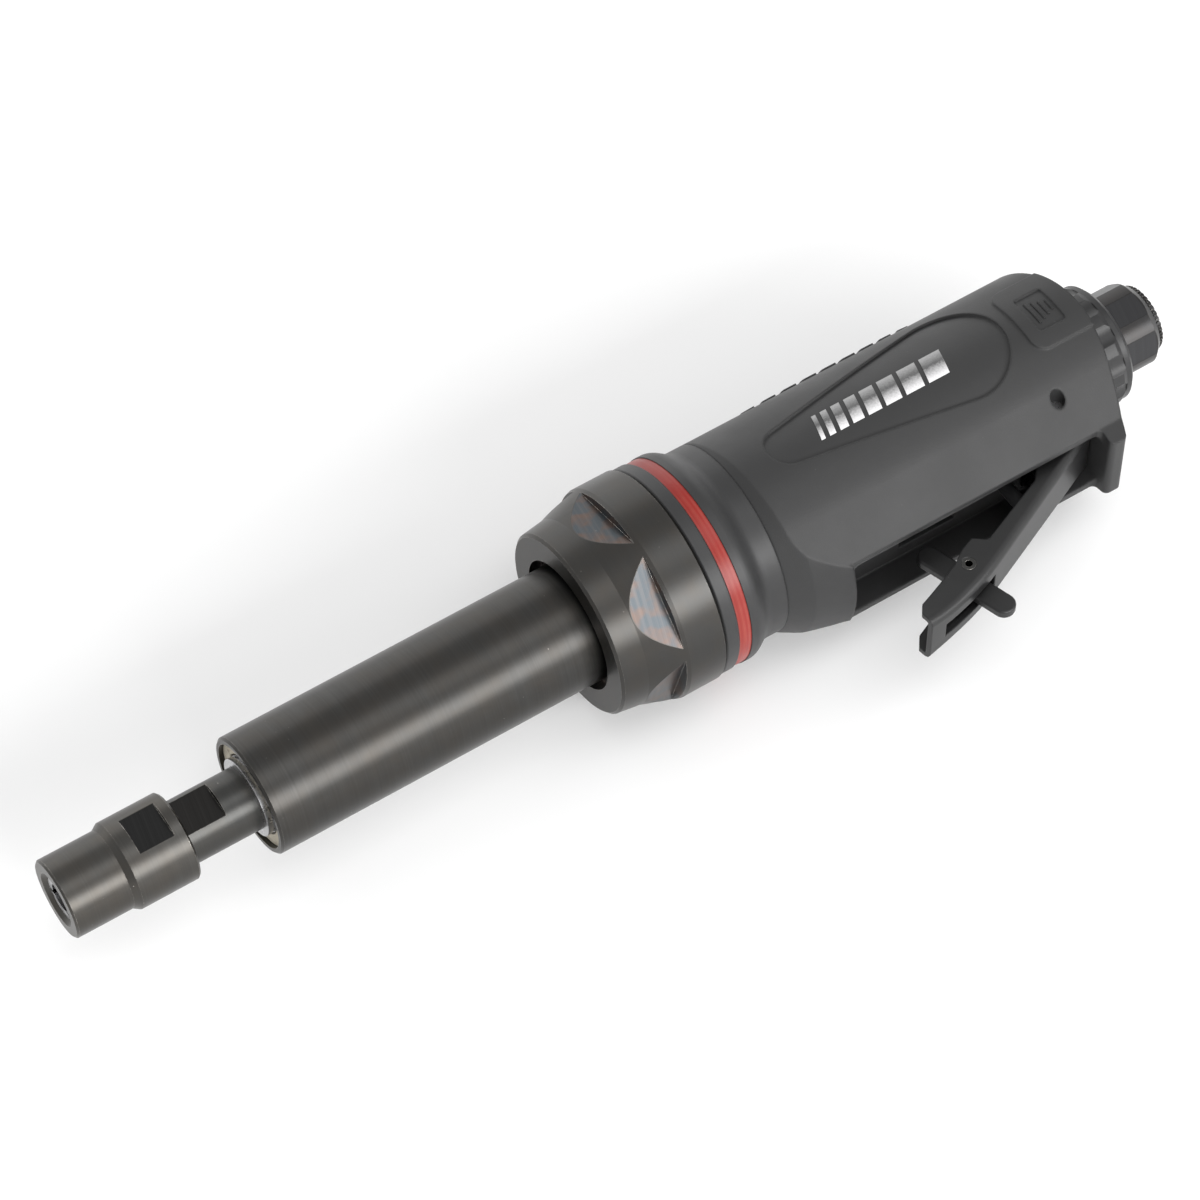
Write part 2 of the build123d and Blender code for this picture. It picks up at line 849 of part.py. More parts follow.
with BuildPart() as valve_seal:
    turn_valve([
        (stem_radius, head_bottom),
        (stem_head_radius, head_bottom),
        (stem_head_radius, seal_bottom),
        (stem_radius, seal_bottom),
    ])

valve_spring_bottom = head_top - valve_spring_wire
valve_spring_height = chamber_top + valve_spring_bottom - valve_spring_wire
with BuildPart() as valve_spring:
    with BuildLine() as coil:
        Helix(
            valve_spring_height / valve_spring_turns,
            valve_spring_height,
            valve_spring_radius,
            center=(valve_x, -valve_spring_bottom, 0),
            direction=(0, 1, 0),
        )
    with BuildSketch(Plane(coil.line @ 0, z_dir=coil.line % 0)):
        Circle(valve_spring_wire)
    sweep(path=coil.line)

# ---- Handle housing ----
flank_turn = radians(90 + flank_angle)
flank_y = grip_radius * cos(flank_turn) - grip_drop
flank_z = grip_radius * sin(flank_turn)
wall_half_width = flank_z - (wall_depth + flank_y) * tan(radians(flank_angle))
nose_radius = collar_rear_radius + nose_slope * nose_length
block_length = trough_length / 2
block_radius = nose_radius + block_slope * block_length

with BuildSketch(Plane.XY) as panel_outline:
    with Locations((housing_x + panel_rear_x, panel_rise)):
        Circle(panel_rear_radius)
    with Locations((housing_x + panel_front_x, 0)):
        Circle(panel_front_radius)
    make_hull()

with BuildSketch(Plane.XY) as pad_outline:
    with Locations((housing_x + pad_x, pad_rise)):
        RectangleRounded(
            2 * pad_height, pad_height, pad_round, align=(Align.MIN, Align.CENTER)
        )

with BuildSketch(Plane.XY) as mark_outline:
    with Locations((housing_x + mark_x, 0)):
        RectangleRounded(
            mark_length, mark_height, mark_round, align=(Align.MIN, Align.CENTER)
        )

with BuildSketch(Plane.XZ) as inlay_outline:
    with Locations((housing_x + inlay_middle, 0)):
        Ellipse(inlay_length / 2, inlay_half_width)


def inlay_skin(low, high):
    """The part of the grip's skin under the inlay's outline, between two radii."""
    with BuildPart() as skin:
        with BuildSketch(Plane.YZ.offset(housing_x)):
            with Locations((-grip_drop, 0)):
                Circle(high)
                Circle(low, mode=Mode.SUBTRACT)
        extrude(amount=housing_length)
        extrude(inlay_outline.sketch, amount=-2 * grip_radius, mode=Mode.INTERSECT)
    return skin.part


with BuildPart() as handle_housing:
    with BuildSketch(Plane.YZ.offset(housing_x)):
        with BuildLine():
            CenterArc((-grip_drop, 0), grip_radius, -90 - flank_angle, 180 + 2 * flank_angle)
            Polyline(
                (flank_y, flank_z),
                (-wall_depth, wall_half_width),
                (-keel_depth, keel_half_width),
                (-keel_depth, -keel_half_width),
                (-wall_depth, -wall_half_width),
                (flank_y, -flank_z),
            )
        keel = make_face()
        fillet(keel.vertices().sort_by(Axis.Y)[:2], keel_round)
    extrude(amount=housing_length + grip_radius)
    turn(
        [
            (housing_x, 0),
            (housing_x, collar_rear_radius),
            (housing_x + nose_length, nose_radius),
            (housing_x + nose_length + block_length, block_radius),
            (housing_rear_x + grip_radius, block_radius),
            (housing_rear_x + grip_radius, 0),
        ],
        Mode.INTERSECT,
    )
    add(side_skin(pad_outline.sketch, grip_radius - pad_level, grip_radius + pad_level))
    with BuildSketch(Plane.XY):
        with BuildLine():
            ThreePointArc(
                (housing_rear_x - rear_back_drop, grip_radius),
                (housing_rear_x, -rear_crown_depth),
                (housing_rear_x - rear_keel_drop, -keel_depth),
            )
            Polyline(
                (housing_rear_x - rear_keel_drop, -keel_depth),
                (trough_rear_x, -keel_depth),
                (trough_rear_x, -wall_depth),
                (trough_x, -wall_depth),
                (trough_x, -2 * grip_radius),
                (housing_x, -2 * grip_radius),
                (housing_x, grip_radius),
                (housing_rear_x - rear_back_drop, grip_radius),
            )
        side = make_face()
        corners = side.vertices().filter_by(
            lambda v: v.X > trough_rear_x - 1 and v.Y < 0
        )
        fillet(corners, lip_round / 2)
    extrude(amount=2 * grip_radius, both=True, mode=Mode.INTERSECT)
    add(
        side_skin(
            mark_outline.sketch,
            grip_radius + pad_level - mark_depth,
            grip_radius + 2 * pad_level,
        ),
        mode=Mode.SUBTRACT,
    )
    add(inlay_skin(grip_radius - inlay_thickness, 2 * grip_radius), mode=Mode.SUBTRACT)
    with BuildSketch(Plane.XZ.offset(trough_floor)):
        with Locations((trough_x, 0)):
            RectangleRounded(
                trough_length,
                2 * trough_half_width,
                trough_round,
                align=(Align.MIN, Align.CENTER),
            )
    extrude(amount=grip_radius, mode=Mode.SUBTRACT)
    with BuildSketch(Plane.XZ.offset(pocket_floor)):
        with Locations((trough_rear_x, 0)):
            RectangleRounded(
                pocket_length,
                2 * trough_half_width,
                trough_round,
                align=(Align.MAX, Align.CENTER),
            )
    extrude(amount=grip_radius, mode=Mode.SUBTRACT)
    with BuildSketch(Plane.XZ):
        with Locations((housing_x + window_set_back, 0)):
            Rectangle(window_length, 2 * window_half_width, align=(Align.MIN, Align.CENTER))
    extrude(amount=grip_radius, mode=Mode.SUBTRACT)
    sleeve(housing_x, valve_body_x, 0, motor_sleeve_radius + seat_gap, Mode.SUBTRACT)
    sleeve(valve_body_x, valve_body_rear_x, 0, valve_body_radius + seat_gap, Mode.SUBTRACT)
    sleeve(valve_body_rear_x, thread_rear_x, 0, bushing_body_radius + seat_gap, Mode.SUBTRACT)
    sleeve(thread_rear_x, inlet_x, 0, rear_chamber_radius, Mode.SUBTRACT)
    sleeve(ring_x - ring_well_depth, inlet_x, 0, ring_well_radius, Mode.SUBTRACT)
    turn_valve(
        [(0, 0), (bushing_radius + seat_gap, 0), (bushing_radius + seat_gap, bushing_bottom),
         (0, bushing_bottom)],
        Mode.SUBTRACT,
    )
    turn_valve(
        [(0, 0), (stem_radius + stem_hole_gap, 0), (stem_radius + stem_hole_gap, grip_radius),
         (0, grip_radius)],
        Mode.SUBTRACT,
    )
    with BuildSketch(lever_plane):
        Circle(pivot_pin_radius + seat_gap)
    extrude(amount=grip_radius, both=True, mode=Mode.SUBTRACT)
    add(
        side_skin(panel_outline.sketch, grip_radius - panel_depth, grip_radius + panel_depth),
        mode=Mode.SUBTRACT,
    )

with BuildPart() as grip_inlay:
    add(inlay_skin(grip_radius - inlay_thickness, grip_radius))
    with BuildPart(mode=Mode.PRIVATE) as ribs:
        for number in range(inlay_rib_count):
            step = number - (inlay_rib_count - 1) / 2
            start = housing_x + inlay_middle + step * inlay_rib_pitch - inlay_rib_width / 2
            with BuildSketch(Plane.YZ.offset(start)):
                with Locations((-grip_drop, 0)):
                    Circle(grip_radius + inlay_rib_height)
            extrude(amount=inlay_rib_width)
    add(inlay_skin(grip_radius - inlay_thickness / 2, grip_radius + inlay_rib_height) & ribs.part)

# ---- Throttle lever ----
with BuildPart() as throttle_lever:
    with BuildSketch(lever_plane):
        Circle(lever_heel_radius)
        with BuildLine():
            Polyline(
                (-lever_heel_radius * 0.8, lever_heel_radius * 0.45),
                (-lever_heel_radius * 0.45, lever_length),
                (lever_length, lever_length),
                (lever_length, lever_tip_height),
                (lever_length - 0.6, lever_toe_height + 1.4),
                (lever_length - 2.8, lever_toe_height),
                (lever_ear_u + lever_ear_width / 2 + 4, lever_toe_height - 0.2),
                (lever_ear_u + lever_ear_width / 2, lever_ear_height),
                (lever_ear_u - lever_ear_width / 2, lever_ear_height),
                (lever_ear_u - lever_ear_width, lever_edge_height),
                (lever_length / 4, lever_edge_height - 0.3),
                (lever_heel_radius * 0.5, -lever_heel_radius * 0.35),
                close=True,
            )
        make_face()
    extrude(amount=2 * lever_root_half_width, both=True)
    add(lever_bulk(0), mode=Mode.INTERSECT)
    add(lever_bulk(lever_sheet), mode=Mode.SUBTRACT)
    with BuildSketch(lever_plane):
        Circle(pivot_pin_radius + running_gap)
        with Locations((latch_u, latch_v)):
            Circle(latch_pin_radius + seat_gap)
    extrude(amount=2 * lever_root_half_width, both=True, mode=Mode.SUBTRACT)
    slot_rear_u = latch_u - latch_half_width - 2 * side_gap
    with BuildSketch(lever_plan):
        with Locations((slot_rear_u, 0)):
            Rectangle(
                slot_front_u - slot_rear_u,
                2 * slot_half_width,
                align=(Align.MIN, Align.CENTER),
            )
    extrude(amount=lever_length, mode=Mode.SUBTRACT)

with BuildPart() as lever_pivot_pin:
    with BuildSketch(lever_plane):
        Circle(pivot_pin_radius)
    extrude(amount=pivot_pin_half_length, both=True)

latch_slope = (lever_root_half_width - lever_waist_half_width) / (
    lever_waist_u + 2 * lever_heel_radius
)
latch_half_span = lever_waist_half_width + latch_slope * (lever_waist_u - latch_u)
with BuildPart() as latch_pin:
    with BuildSketch(lever_plane):
        with Locations((latch_u, latch_v)):
            Circle(latch_pin_radius)
            Circle(latch_pin_bore, mode=Mode.SUBTRACT)
    extrude(amount=latch_half_span, both=True)

with BuildPart() as safety_latch:
    with BuildSketch(lever_plane):
        with Locations(
            (latch_u + latch_tab_lean, latch_v + latch_outer_reach),
            (latch_u, latch_v - latch_inner_reach),
        ):
            Circle(latch_half_width)
        make_hull()
    extrude(amount=latch_thickness / 2, both=True)
    rims = safety_latch.faces().filter_by(Plane.XY).edges()
    fillet(rims, latch_edge_round)
    with BuildSketch(lever_plane):
        with Locations((latch_u, latch_v)):
            Circle(latch_pin_radius + running_gap)
    extrude(amount=latch_thickness, both=True, mode=Mode.SUBTRACT)

coil_radius = latch_pin_radius + side_gap + latch_spring_wire
coil_start = latch_thickness / 2 + side_gap + latch_spring_wire
with BuildPart() as latch_spring:
    with BuildLine() as coil:
        Helix(
            latch_spring_length / latch_spring_turns,
            latch_spring_length,
            coil_radius,
            center=lever_plane.from_local_coords((latch_u, latch_v, coil_start)),
        )
    with BuildSketch(Plane(coil.line @ 0, z_dir=coil.line % 0)):
        Circle(latch_spring_wire)
    sweep(path=coil.line)

# ---- Air inlet ----
spigot_x = ring_x - ring_spigot_length
with BuildPart() as regulator_ring:
    turn([
        (spigot_x, bushing_body_radius + running_gap),
        (spigot_x, ring_spigot_radius),
        (ring_x, ring_spigot_radius),
        (ring_x, ring_radius),
        (ring_rear_x - ring_rim_width - 1, ring_radius),
        (ring_rear_x - ring_rim_width, ring_rim_radius),
        (ring_rear_x - 1, ring_rim_radius),
        (ring_rear_x, ring_end_radius),
        (ring_rear_x, bushing_body_radius + running_gap),
    ])
    with BuildSketch(Plane.YZ.offset(ring_x)):
        with PolarLocations(
            ring_radius + ring_flute_radius - ring_flute_depth, ring_flute_count
        ):
            Circle(ring_flute_radius)
    extrude(amount=ring_length - ring_rim_width, mode=Mode.SUBTRACT)

with BuildPart() as trim_ring:
    sleeve(
        ring_x - ring_well_depth,
        ring_x - ring_well_depth + trim_width,
        rear_chamber_radius,
        trim_radius,
    )

silencer_x = thread_rear_x + seat_gap
with BuildPart() as exhaust_silencer:
    sleeve(
        silencer_x,
        silencer_x + silencer_length,
        bushing_body_radius + seat_gap,
        rear_chamber_radius - seat_gap,
    )

bushing_x = valve_body_rear_x + inlet_gap
thread_x = inlet_x - inlet_thread_depth
screen_x = thread_x - screen_length
with BuildPart() as inlet_bushing:
    turn([
        (bushing_x, inlet_bore_radius),
        (bushing_x, bushing_body_radius),
        (bar_x, bushing_body_radius),
        (bar_x, inlet_bar_radius - trim_edge_break),
        (bar_x + trim_edge_break, inlet_bar_radius),
        (cone_x, inlet_bar_radius),
        (lip_x, inlet_cone_radius),
        (lip_x, inlet_lip_radius),
        (inlet_x, inlet_lip_radius),
        (inlet_x, inlet_thread_radius),
        (thread_x, inlet_thread_radius),
        (thread_x, inlet_bore_radius),
    ])
    mill_flats(
        bar_x,
        inlet_bar_length + inlet_cone_length,
        inlet_flats_width,
        inlet_flats_count,
        inlet_flats_phase,
        inlet_bar_radius,
    )
    with BuildSketch(Plane.YZ.offset(lip_x)):
        with PolarLocations(inlet_lip_radius, inlet_teeth):
            Rectangle(inlet_tooth_width, inlet_tooth_width)
    extrude(amount=inlet_lip_length, mode=Mode.SUBTRACT)

with BuildPart() as inlet_screen:
    sleeve(
        screen_x,
        thread_x,
        inlet_bore_radius - seat_gap - screen_wall,
        inlet_bore_radius - seat_gap,
    )
    sleeve(screen_x, screen_x + screen_wall, 0, inlet_bore_radius - seat_gap)

# ---- Labels and files ----
pieces = {
    "collet": collet,
    "collet_nut": collet_nut,
    "spindle": spindle,
    "oil_slinger": oil_slinger,
    "extension_tube": extension_tube,
    "felt_seal": felt_seal,
    "seal_washer": seal_washer,
    "spindle_outer_races": spindle_outer_races,
    "spindle_inner_races": spindle_inner_races,
    "spindle_balls": spindle_balls,
    "bearing_spacer": bearing_spacer,
    "bearing_distance_sleeve": bearing_distance_sleeve,
    "preload_washer": preload_washer,
    "drive_coupling": drive_coupling,
    "clamp_nut": clamp_nut,
    "spacer_ring": spacer_ring,
    "colour_band": colour_band,
    "front_collar": front_collar,
    "motor_housing": motor_housing,
    "front_end_plate": front_end_plate,
    "rear_end_plate": rear_end_plate,
    "locating_dowel": locating_dowel,
    "cylinder_liner": cylinder_liner,
    "rotor": rotor,
    "rotor_blades": rotor_blades,
    "motor_outer_races": motor_outer_races,
    "motor_inner_races": motor_inner_races,
    "motor_balls": motor_balls,
    "motor_gasket": motor_gasket,
    "valve_body": valve_body,
    "valve_bushing": valve_bushing,
    "valve_stem": valve_stem,
    "valve_seal": valve_seal,
    "valve_spring": valve_spring,
    "handle_housing": handle_housing,
    "grip_inlay": grip_inlay,
    "throttle_lever": throttle_lever,
    "lever_pivot_pin": lever_pivot_pin,
    "latch_pin": latch_pin,
    "safety_latch": safety_latch,
    "latch_spring": latch_spring,
    "regulator_ring": regulator_ring,
    "trim_ring": trim_ring,
    "exhaust_silencer": exhaust_silencer,
    "inlet_bushing": inlet_bushing,
    "inlet_screen": inlet_screen,
}
for label, piece in pieces.items():
    piece.part.label = label
    export_step(piece.part, f"parts/{label}.step")
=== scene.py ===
"""Looks of the die grinder: finishes, small trim pieces, studio and camera."""

import logging
import math
from dataclasses import dataclass
from enum import Enum

import bmesh
import bpy
from mathutils import Matrix, Vector
from mathutils.bvhtree import BVHTree


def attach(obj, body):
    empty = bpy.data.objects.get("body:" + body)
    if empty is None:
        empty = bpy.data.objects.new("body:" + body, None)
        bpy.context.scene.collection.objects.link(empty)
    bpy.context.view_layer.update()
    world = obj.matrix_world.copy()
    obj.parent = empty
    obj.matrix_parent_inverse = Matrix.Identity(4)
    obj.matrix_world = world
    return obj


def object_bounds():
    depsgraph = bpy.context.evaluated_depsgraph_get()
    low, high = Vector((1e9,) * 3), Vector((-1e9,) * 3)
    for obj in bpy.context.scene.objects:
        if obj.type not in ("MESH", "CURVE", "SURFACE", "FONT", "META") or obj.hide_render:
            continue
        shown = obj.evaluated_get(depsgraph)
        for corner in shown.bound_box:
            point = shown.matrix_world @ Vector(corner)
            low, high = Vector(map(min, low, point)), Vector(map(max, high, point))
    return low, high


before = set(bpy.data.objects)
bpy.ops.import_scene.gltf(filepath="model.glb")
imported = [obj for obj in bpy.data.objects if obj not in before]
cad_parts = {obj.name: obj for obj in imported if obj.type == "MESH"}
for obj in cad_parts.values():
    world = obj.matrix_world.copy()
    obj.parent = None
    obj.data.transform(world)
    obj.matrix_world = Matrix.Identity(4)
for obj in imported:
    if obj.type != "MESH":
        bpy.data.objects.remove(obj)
cad_box = [list(map(float, corner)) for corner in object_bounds()]

LOG = logging.getLogger("die_grinder")
MM = 0.001
Colour = tuple[float, float, float]
Value = bpy.types.NodeSocket | float | tuple


class Side(Enum):
    """The two flanks of the handle."""

    NEAR = 1.0
    FAR = -1.0


class Effect(Enum):
    """Shader node groups that several finishes share."""

    TURNED_LINES = "turned_lines"
    EDGE_WEAR = "edge_wear"
    MILLED_CUT = "milled_cut"
    MOULD_GRAIN = "mould_grain"
    SMUDGES = "smudges"
    SPECKS = "specks"


class Graph:
    """A node tree being wired."""

    def __init__(self, tree: bpy.types.NodeTree) -> None:
        """Keeps the tree that new nodes go into."""
        self.tree = tree

    def add(self, kind: str, **settings: object) -> bpy.types.Node:
        """Adds a node.

        Args:
            kind: The node's type, without the ShaderNode prefix.
            settings: Properties of the node.

        Returns:
            The new node.
        """
        node = self.tree.nodes.new("ShaderNode" + kind)
        for key, value in settings.items():
            setattr(node, key, value)
        return node

    def feed(self, socket: bpy.types.NodeSocket, value: Value) -> None:
        """Links a socket or writes a plain value.

        Args:
            socket: The input that takes the value.
            value: An output socket, a number or a colour.
        """
        if isinstance(value, bpy.types.NodeSocket):
            self.tree.links.new(value, socket)
        elif isinstance(value, tuple) and len(value) == 3 and socket.type == "RGBA":
            socket.default_value = (*value, 1.0)
        else:
            socket.default_value = value

    def math(self, operation: str, *values: Value, clamp: bool = False) -> bpy.types.NodeSocket:
        """Adds a Math node.

        Args:
            operation: The Math operation.
            values: Its inputs, in order.
            clamp: Whether the result is kept between 0 and 1.

        Returns:
            The result.
        """
        node = self.add("Math", operation=operation, use_clamp=clamp)
        for socket, value in zip(node.inputs, values):
            self.feed(socket, value)
        return node.outputs[0]

    def remap(self, value: Value, low: Value, high: Value, to_low: Value = 0.0, to_high: Value = 1.0,
              clamp: bool = True) -> bpy.types.NodeSocket:
        """Adds a Map Range node.

        Args:
            value: The value that is mapped.
            low: The start of its range.
            high: The end of its range.
            to_low: The result at the start.
            to_high: The result at the end.
            clamp: Whether the result stays in its range.

        Returns:
            The mapped value.
        """
        node = self.add("MapRange", clamp=clamp)
        for socket, item in zip(node.inputs, (value, low, high, to_low, to_high)):
            self.feed(socket, item)
        return node.outputs[0]

    def mix(self, factor: Value, first: Value, second: Value) -> bpy.types.NodeSocket:
        """Mixes two colours.

        Args:
            factor: The share of the second colour.
            first: The first colour.
            second: The second colour.

        Returns:
            The mixed colour.
        """
        node = self.add("Mix", data_type="RGBA")
        self.feed(node.inputs[0], factor)
        self.feed(node.inputs[6], first)
        self.feed(node.inputs[7], second)
        return node.outputs[2]

    def blend(self, factor: Value, first: Value, second: Value) -> bpy.types.NodeSocket:
        """Mixes two numbers.

        Args:
            factor: The share of the second number.
            first: The first number.
            second: The second number.

        Returns:
            The mixed number.
        """
        node = self.add("Mix", data_type="FLOAT")
        for socket, value in zip(node.inputs, (factor, first, second)):
            self.feed(socket, value)
        return node.outputs[0]

    def noise(
        self, vector: Value, scale: Value, detail: float = 2.0, roughness: float = 0.5
    ) -> bpy.types.NodeSocket:
        """Adds a 3-D noise.

        Args:
            vector: The position it is read at.
            scale: Features per metre.
            detail: Octaves.
            roughness: Strength of the finer octaves.

        Returns:
            The noise, about 0 to 1.
        """
        node = self.add("TexNoise", noise_dimensions="3D")
        self.feed(node.inputs["Vector"], vector)
        self.feed(node.inputs["Scale"], scale)
        node.inputs["Detail"].default_value = detail
        node.inputs["Roughness"].default_value = roughness
        return node.outputs[0]

    def line_noise(self, position: Value, detail: float = 1.0) -> bpy.types.NodeSocket:
        """Adds a noise that changes in one direction only.

        Args:
            position: The place along that direction, in noise cells.
            detail: Octaves.

        Returns:
            The noise, about 0 to 1.
        """
        node = self.add("TexNoise", noise_dimensions="1D")
        self.feed(node.inputs["W"], position)
        node.inputs["Scale"].default_value = 1.0
        node.inputs["Detail"].default_value = detail
        return node.outputs[0]

    def axes(self, vector: Value) -> list[bpy.types.NodeSocket]:
        """Splits a vector.

        Args:
            vector: The vector.

        Returns:
            Its X, Y and Z.
        """
        node = self.add("SeparateXYZ")
        self.feed(node.inputs[0], vector)
        return list(node.outputs)

    def radius(self, vector: Value) -> bpy.types.NodeSocket:
        """Measures how far a point is from the spindle's axis.

        Args:
            vector: The point.

        Returns:
            Its distance, in metres.
        """
        _, y, z = self.axes(vector)
        squares = self.math("ADD", self.math("MULTIPLY", y, y), self.math("MULTIPLY", z, z))
        return self.math("SQRT", squares)

    def effect(self, effect: Effect, **values: Value) -> dict[str, bpy.types.NodeSocket]:
        """Places a shared effect in this tree.

        Args:
            effect: Which effect.
            values: Its inputs by name, with _ for a space.

        Returns:
            Its outputs by name.
        """
        node = self.add("Group")
        node.node_tree = effect_group(effect)
        for key, value in values.items():
            self.feed(node.inputs[key.replace("_", " ")], value)
        return {socket.name: socket for socket in node.outputs}


@dataclass
class EffectRecipe:
    """Builds one shared shader group.

    Attributes:
        inputs: Names and starting values of its inputs.
        outputs: Names of its outputs.
    """

    inputs: dict[str, float]
    outputs: tuple[str, ...]

    def build(self, effect: Effect) -> bpy.types.ShaderNodeTree:
        """Makes the group.

        Args:
            effect: Which effect it is.

        Returns:
            The finished node group.
        """
        tree = bpy.data.node_groups.new(effect.value, "ShaderNodeTree")
        tree.interface.new_socket("Vector", in_out="INPUT", socket_type="NodeSocketVector")
        for name, start in self.inputs.items():
            socket = tree.interface.new_socket(name, in_out="INPUT", socket_type="NodeSocketFloat")
            socket.default_value = start
        for name in self.outputs:
            tree.interface.new_socket(name, in_out="OUTPUT", socket_type="NodeSocketFloat")
        graph = Graph(tree)
        entry = tree.nodes.new("NodeGroupInput").outputs
        results = EFFECT_BODIES[effect](graph, entry)
        leave = tree.nodes.new("NodeGroupOutput").inputs
        for name, value in zip(self.outputs, results):
            graph.feed(leave[name], value)
        return tree


def turned_lines(graph: Graph, entry: bpy.types.NodeOutputs) -> tuple:
    """Fine rings that a lathe tool leaves round the spindle's axis.

    Args:
        graph: The group's tree.
        entry: The group's inputs.

    Returns:
        Height and Tone.
    """
    x, _, _ = graph.axes(entry["Vector"])
    cells = graph.math("DIVIDE", x, entry["Pitch"])
    fine = graph.line_noise(cells, 1.0)
    coarse = graph.line_noise(graph.math("MULTIPLY", cells, 0.21), 0.0)
    patch = graph.noise(entry["Vector"], 60.0, 1.0)
    height = graph.math("ADD", graph.math("MULTIPLY", fine, 0.65), graph.math("MULTIPLY", coarse, 0.35))
    tone = graph.math("MULTIPLY", graph.remap(height, 0.35, 0.68), graph.remap(patch, 0.3, 0.7, 0.45, 1.0))
    return height, tone


def edge_wear(graph: Graph, entry: bpy.types.NodeOutputs) -> tuple:
    """Where an edge is rubbed bright, broken up along its length.

    Args:
        graph: The group's tree.
        entry: The group's inputs.

    Returns:
        Mask.
    """
    rounded = graph.add("Bevel", samples=6)
    graph.feed(rounded.inputs["Radius"], entry["Width"])
    facing = graph.add("VectorMath", operation="DOT_PRODUCT")
    graph.feed(facing.inputs[0], rounded.outputs[0])
    graph.feed(facing.inputs[1], graph.add("NewGeometry").outputs["Normal"])
    edge = graph.remap(facing.outputs["Value"], 0.985, 0.84)
    chips = graph.remap(graph.noise(entry["Vector"], 1500.0, 4.0, 0.6), 0.42, 0.58, 0.15, 1.0)
    return (graph.math("MULTIPLY", graph.math("MULTIPLY", edge, chips), entry["Amount"], clamp=True),)


def milled_cut(graph: Graph, entry: bpy.types.NodeOutputs) -> tuple:
    """Where a milled flat lies below the turned profile.

    Args:
        graph: The group's tree.
        entry: The group's inputs.

    Returns:
        Mask.
    """
    x, _, _ = graph.axes(entry["Vector"])
    profile = graph.remap(
        x, entry["Start"], entry["End"], entry["Start Radius"], entry["End Radius"], clamp=False)
    below = graph.math("SUBTRACT", profile, graph.radius(entry["Vector"]))
    sunk = graph.remap(below, 0.03 * MM, 0.08 * MM)
    within = graph.math("MULTIPLY", graph.math("GREATER_THAN", x, entry["Start"]),
                        graph.math("LESS_THAN", x, entry["End"]))
    return (graph.math("MULTIPLY", sunk, within),)


def mould_grain(graph: Graph, entry: bpy.types.NodeOutputs) -> tuple:
    """The fine spark-eroded skin of a moulding.

    Args:
        graph: The group's tree.
        entry: The group's inputs.

    Returns:
        Height and Tone.
    """
    scale = graph.math("DIVIDE", 1.0, entry["Size"])
    pits = graph.add("TexVoronoi", feature="SMOOTH_F1")
    graph.feed(pits.inputs["Vector"], entry["Vector"])
    graph.feed(pits.inputs["Scale"], scale)
    fine = graph.noise(entry["Vector"], graph.math("MULTIPLY", scale, 1.7), 2.0)
    height = graph.math("ADD", graph.math("MULTIPLY", pits.outputs["Distance"], 0.6),
                        graph.math("MULTIPLY", fine, 0.5))
    return height, graph.noise(entry["Vector"], graph.math("MULTIPLY", scale, 0.11), 3.0)


def smudges(graph: Graph, entry: bpy.types.NodeOutputs) -> tuple:
    """Large soft patches where oil and handling change the gloss.

    Args:
        graph: The group's tree.
        entry: The group's inputs.

    Returns:
        Mask.
    """
    wide = graph.noise(entry["Vector"], graph.math("DIVIDE", 1.0, entry["Size"]), 4.0, 0.6)
    return (graph.math("MULTIPLY", graph.remap(wide, 0.38, 0.68), entry["Amount"]),)


def specks(graph: Graph, entry: bpy.types.NodeOutputs) -> tuple:
    """Sparse dust and tiny nicks.

    Args:
        graph: The group's tree.
        entry: The group's inputs.

    Returns:
        Mask.
    """
    cells = graph.add("TexVoronoi", feature="F1")
    graph.feed(cells.inputs["Vector"], entry["Vector"])
    graph.feed(cells.inputs["Scale"], graph.math("DIVIDE", 1.0, entry["Spacing"]))
    dot = graph.remap(cells.outputs["Distance"], 0.05, 0.02)
    chosen = graph.remap(graph.noise(entry["Vector"], 90.0, 1.0), 0.5, 0.62)
    return (graph.math("MULTIPLY", graph.math("MULTIPLY", dot, chosen), entry["Amount"]),)


EFFECT_BODIES = {
    Effect.TURNED_LINES: turned_lines,
    Effect.EDGE_WEAR: edge_wear,
    Effect.MILLED_CUT: milled_cut,
    Effect.MOULD_GRAIN: mould_grain,
    Effect.SMUDGES: smudges,
    Effect.SPECKS: specks,
}
RECIPES = {
    Effect.TURNED_LINES: EffectRecipe({"Pitch": 0.4 * MM}, ("Height", "Tone")),
    Effect.EDGE_WEAR: EffectRecipe({"Width": 0.25 * MM, "Amount": 1.0}, ("Mask",)),
    Effect.MILLED_CUT: EffectRecipe(
        {"Start": 0.0, "End": 0.0, "Start Radius": 0.0, "End Radius": 0.0}, ("Mask",)),
    Effect.MOULD_GRAIN: EffectRecipe({"Size": 0.25 * MM}, ("Height", "Tone")),
    Effect.SMUDGES: EffectRecipe({"Size": 9 * MM, "Amount": 1.0}, ("Mask",)),
    Effect.SPECKS: EffectRecipe({"Spacing": 2.2 * MM, "Amount": 1.0}, ("Mask",)),
}


def effect_group(effect: Effect) -> bpy.types.ShaderNodeTree:
    """Gives a shared group, made the first time it is asked for.

    Args:
        effect: Which effect.

    Returns:
        Its node group.
    """
    return bpy.data.node_groups.get(effect.value) or RECIPES[effect].build(effect)


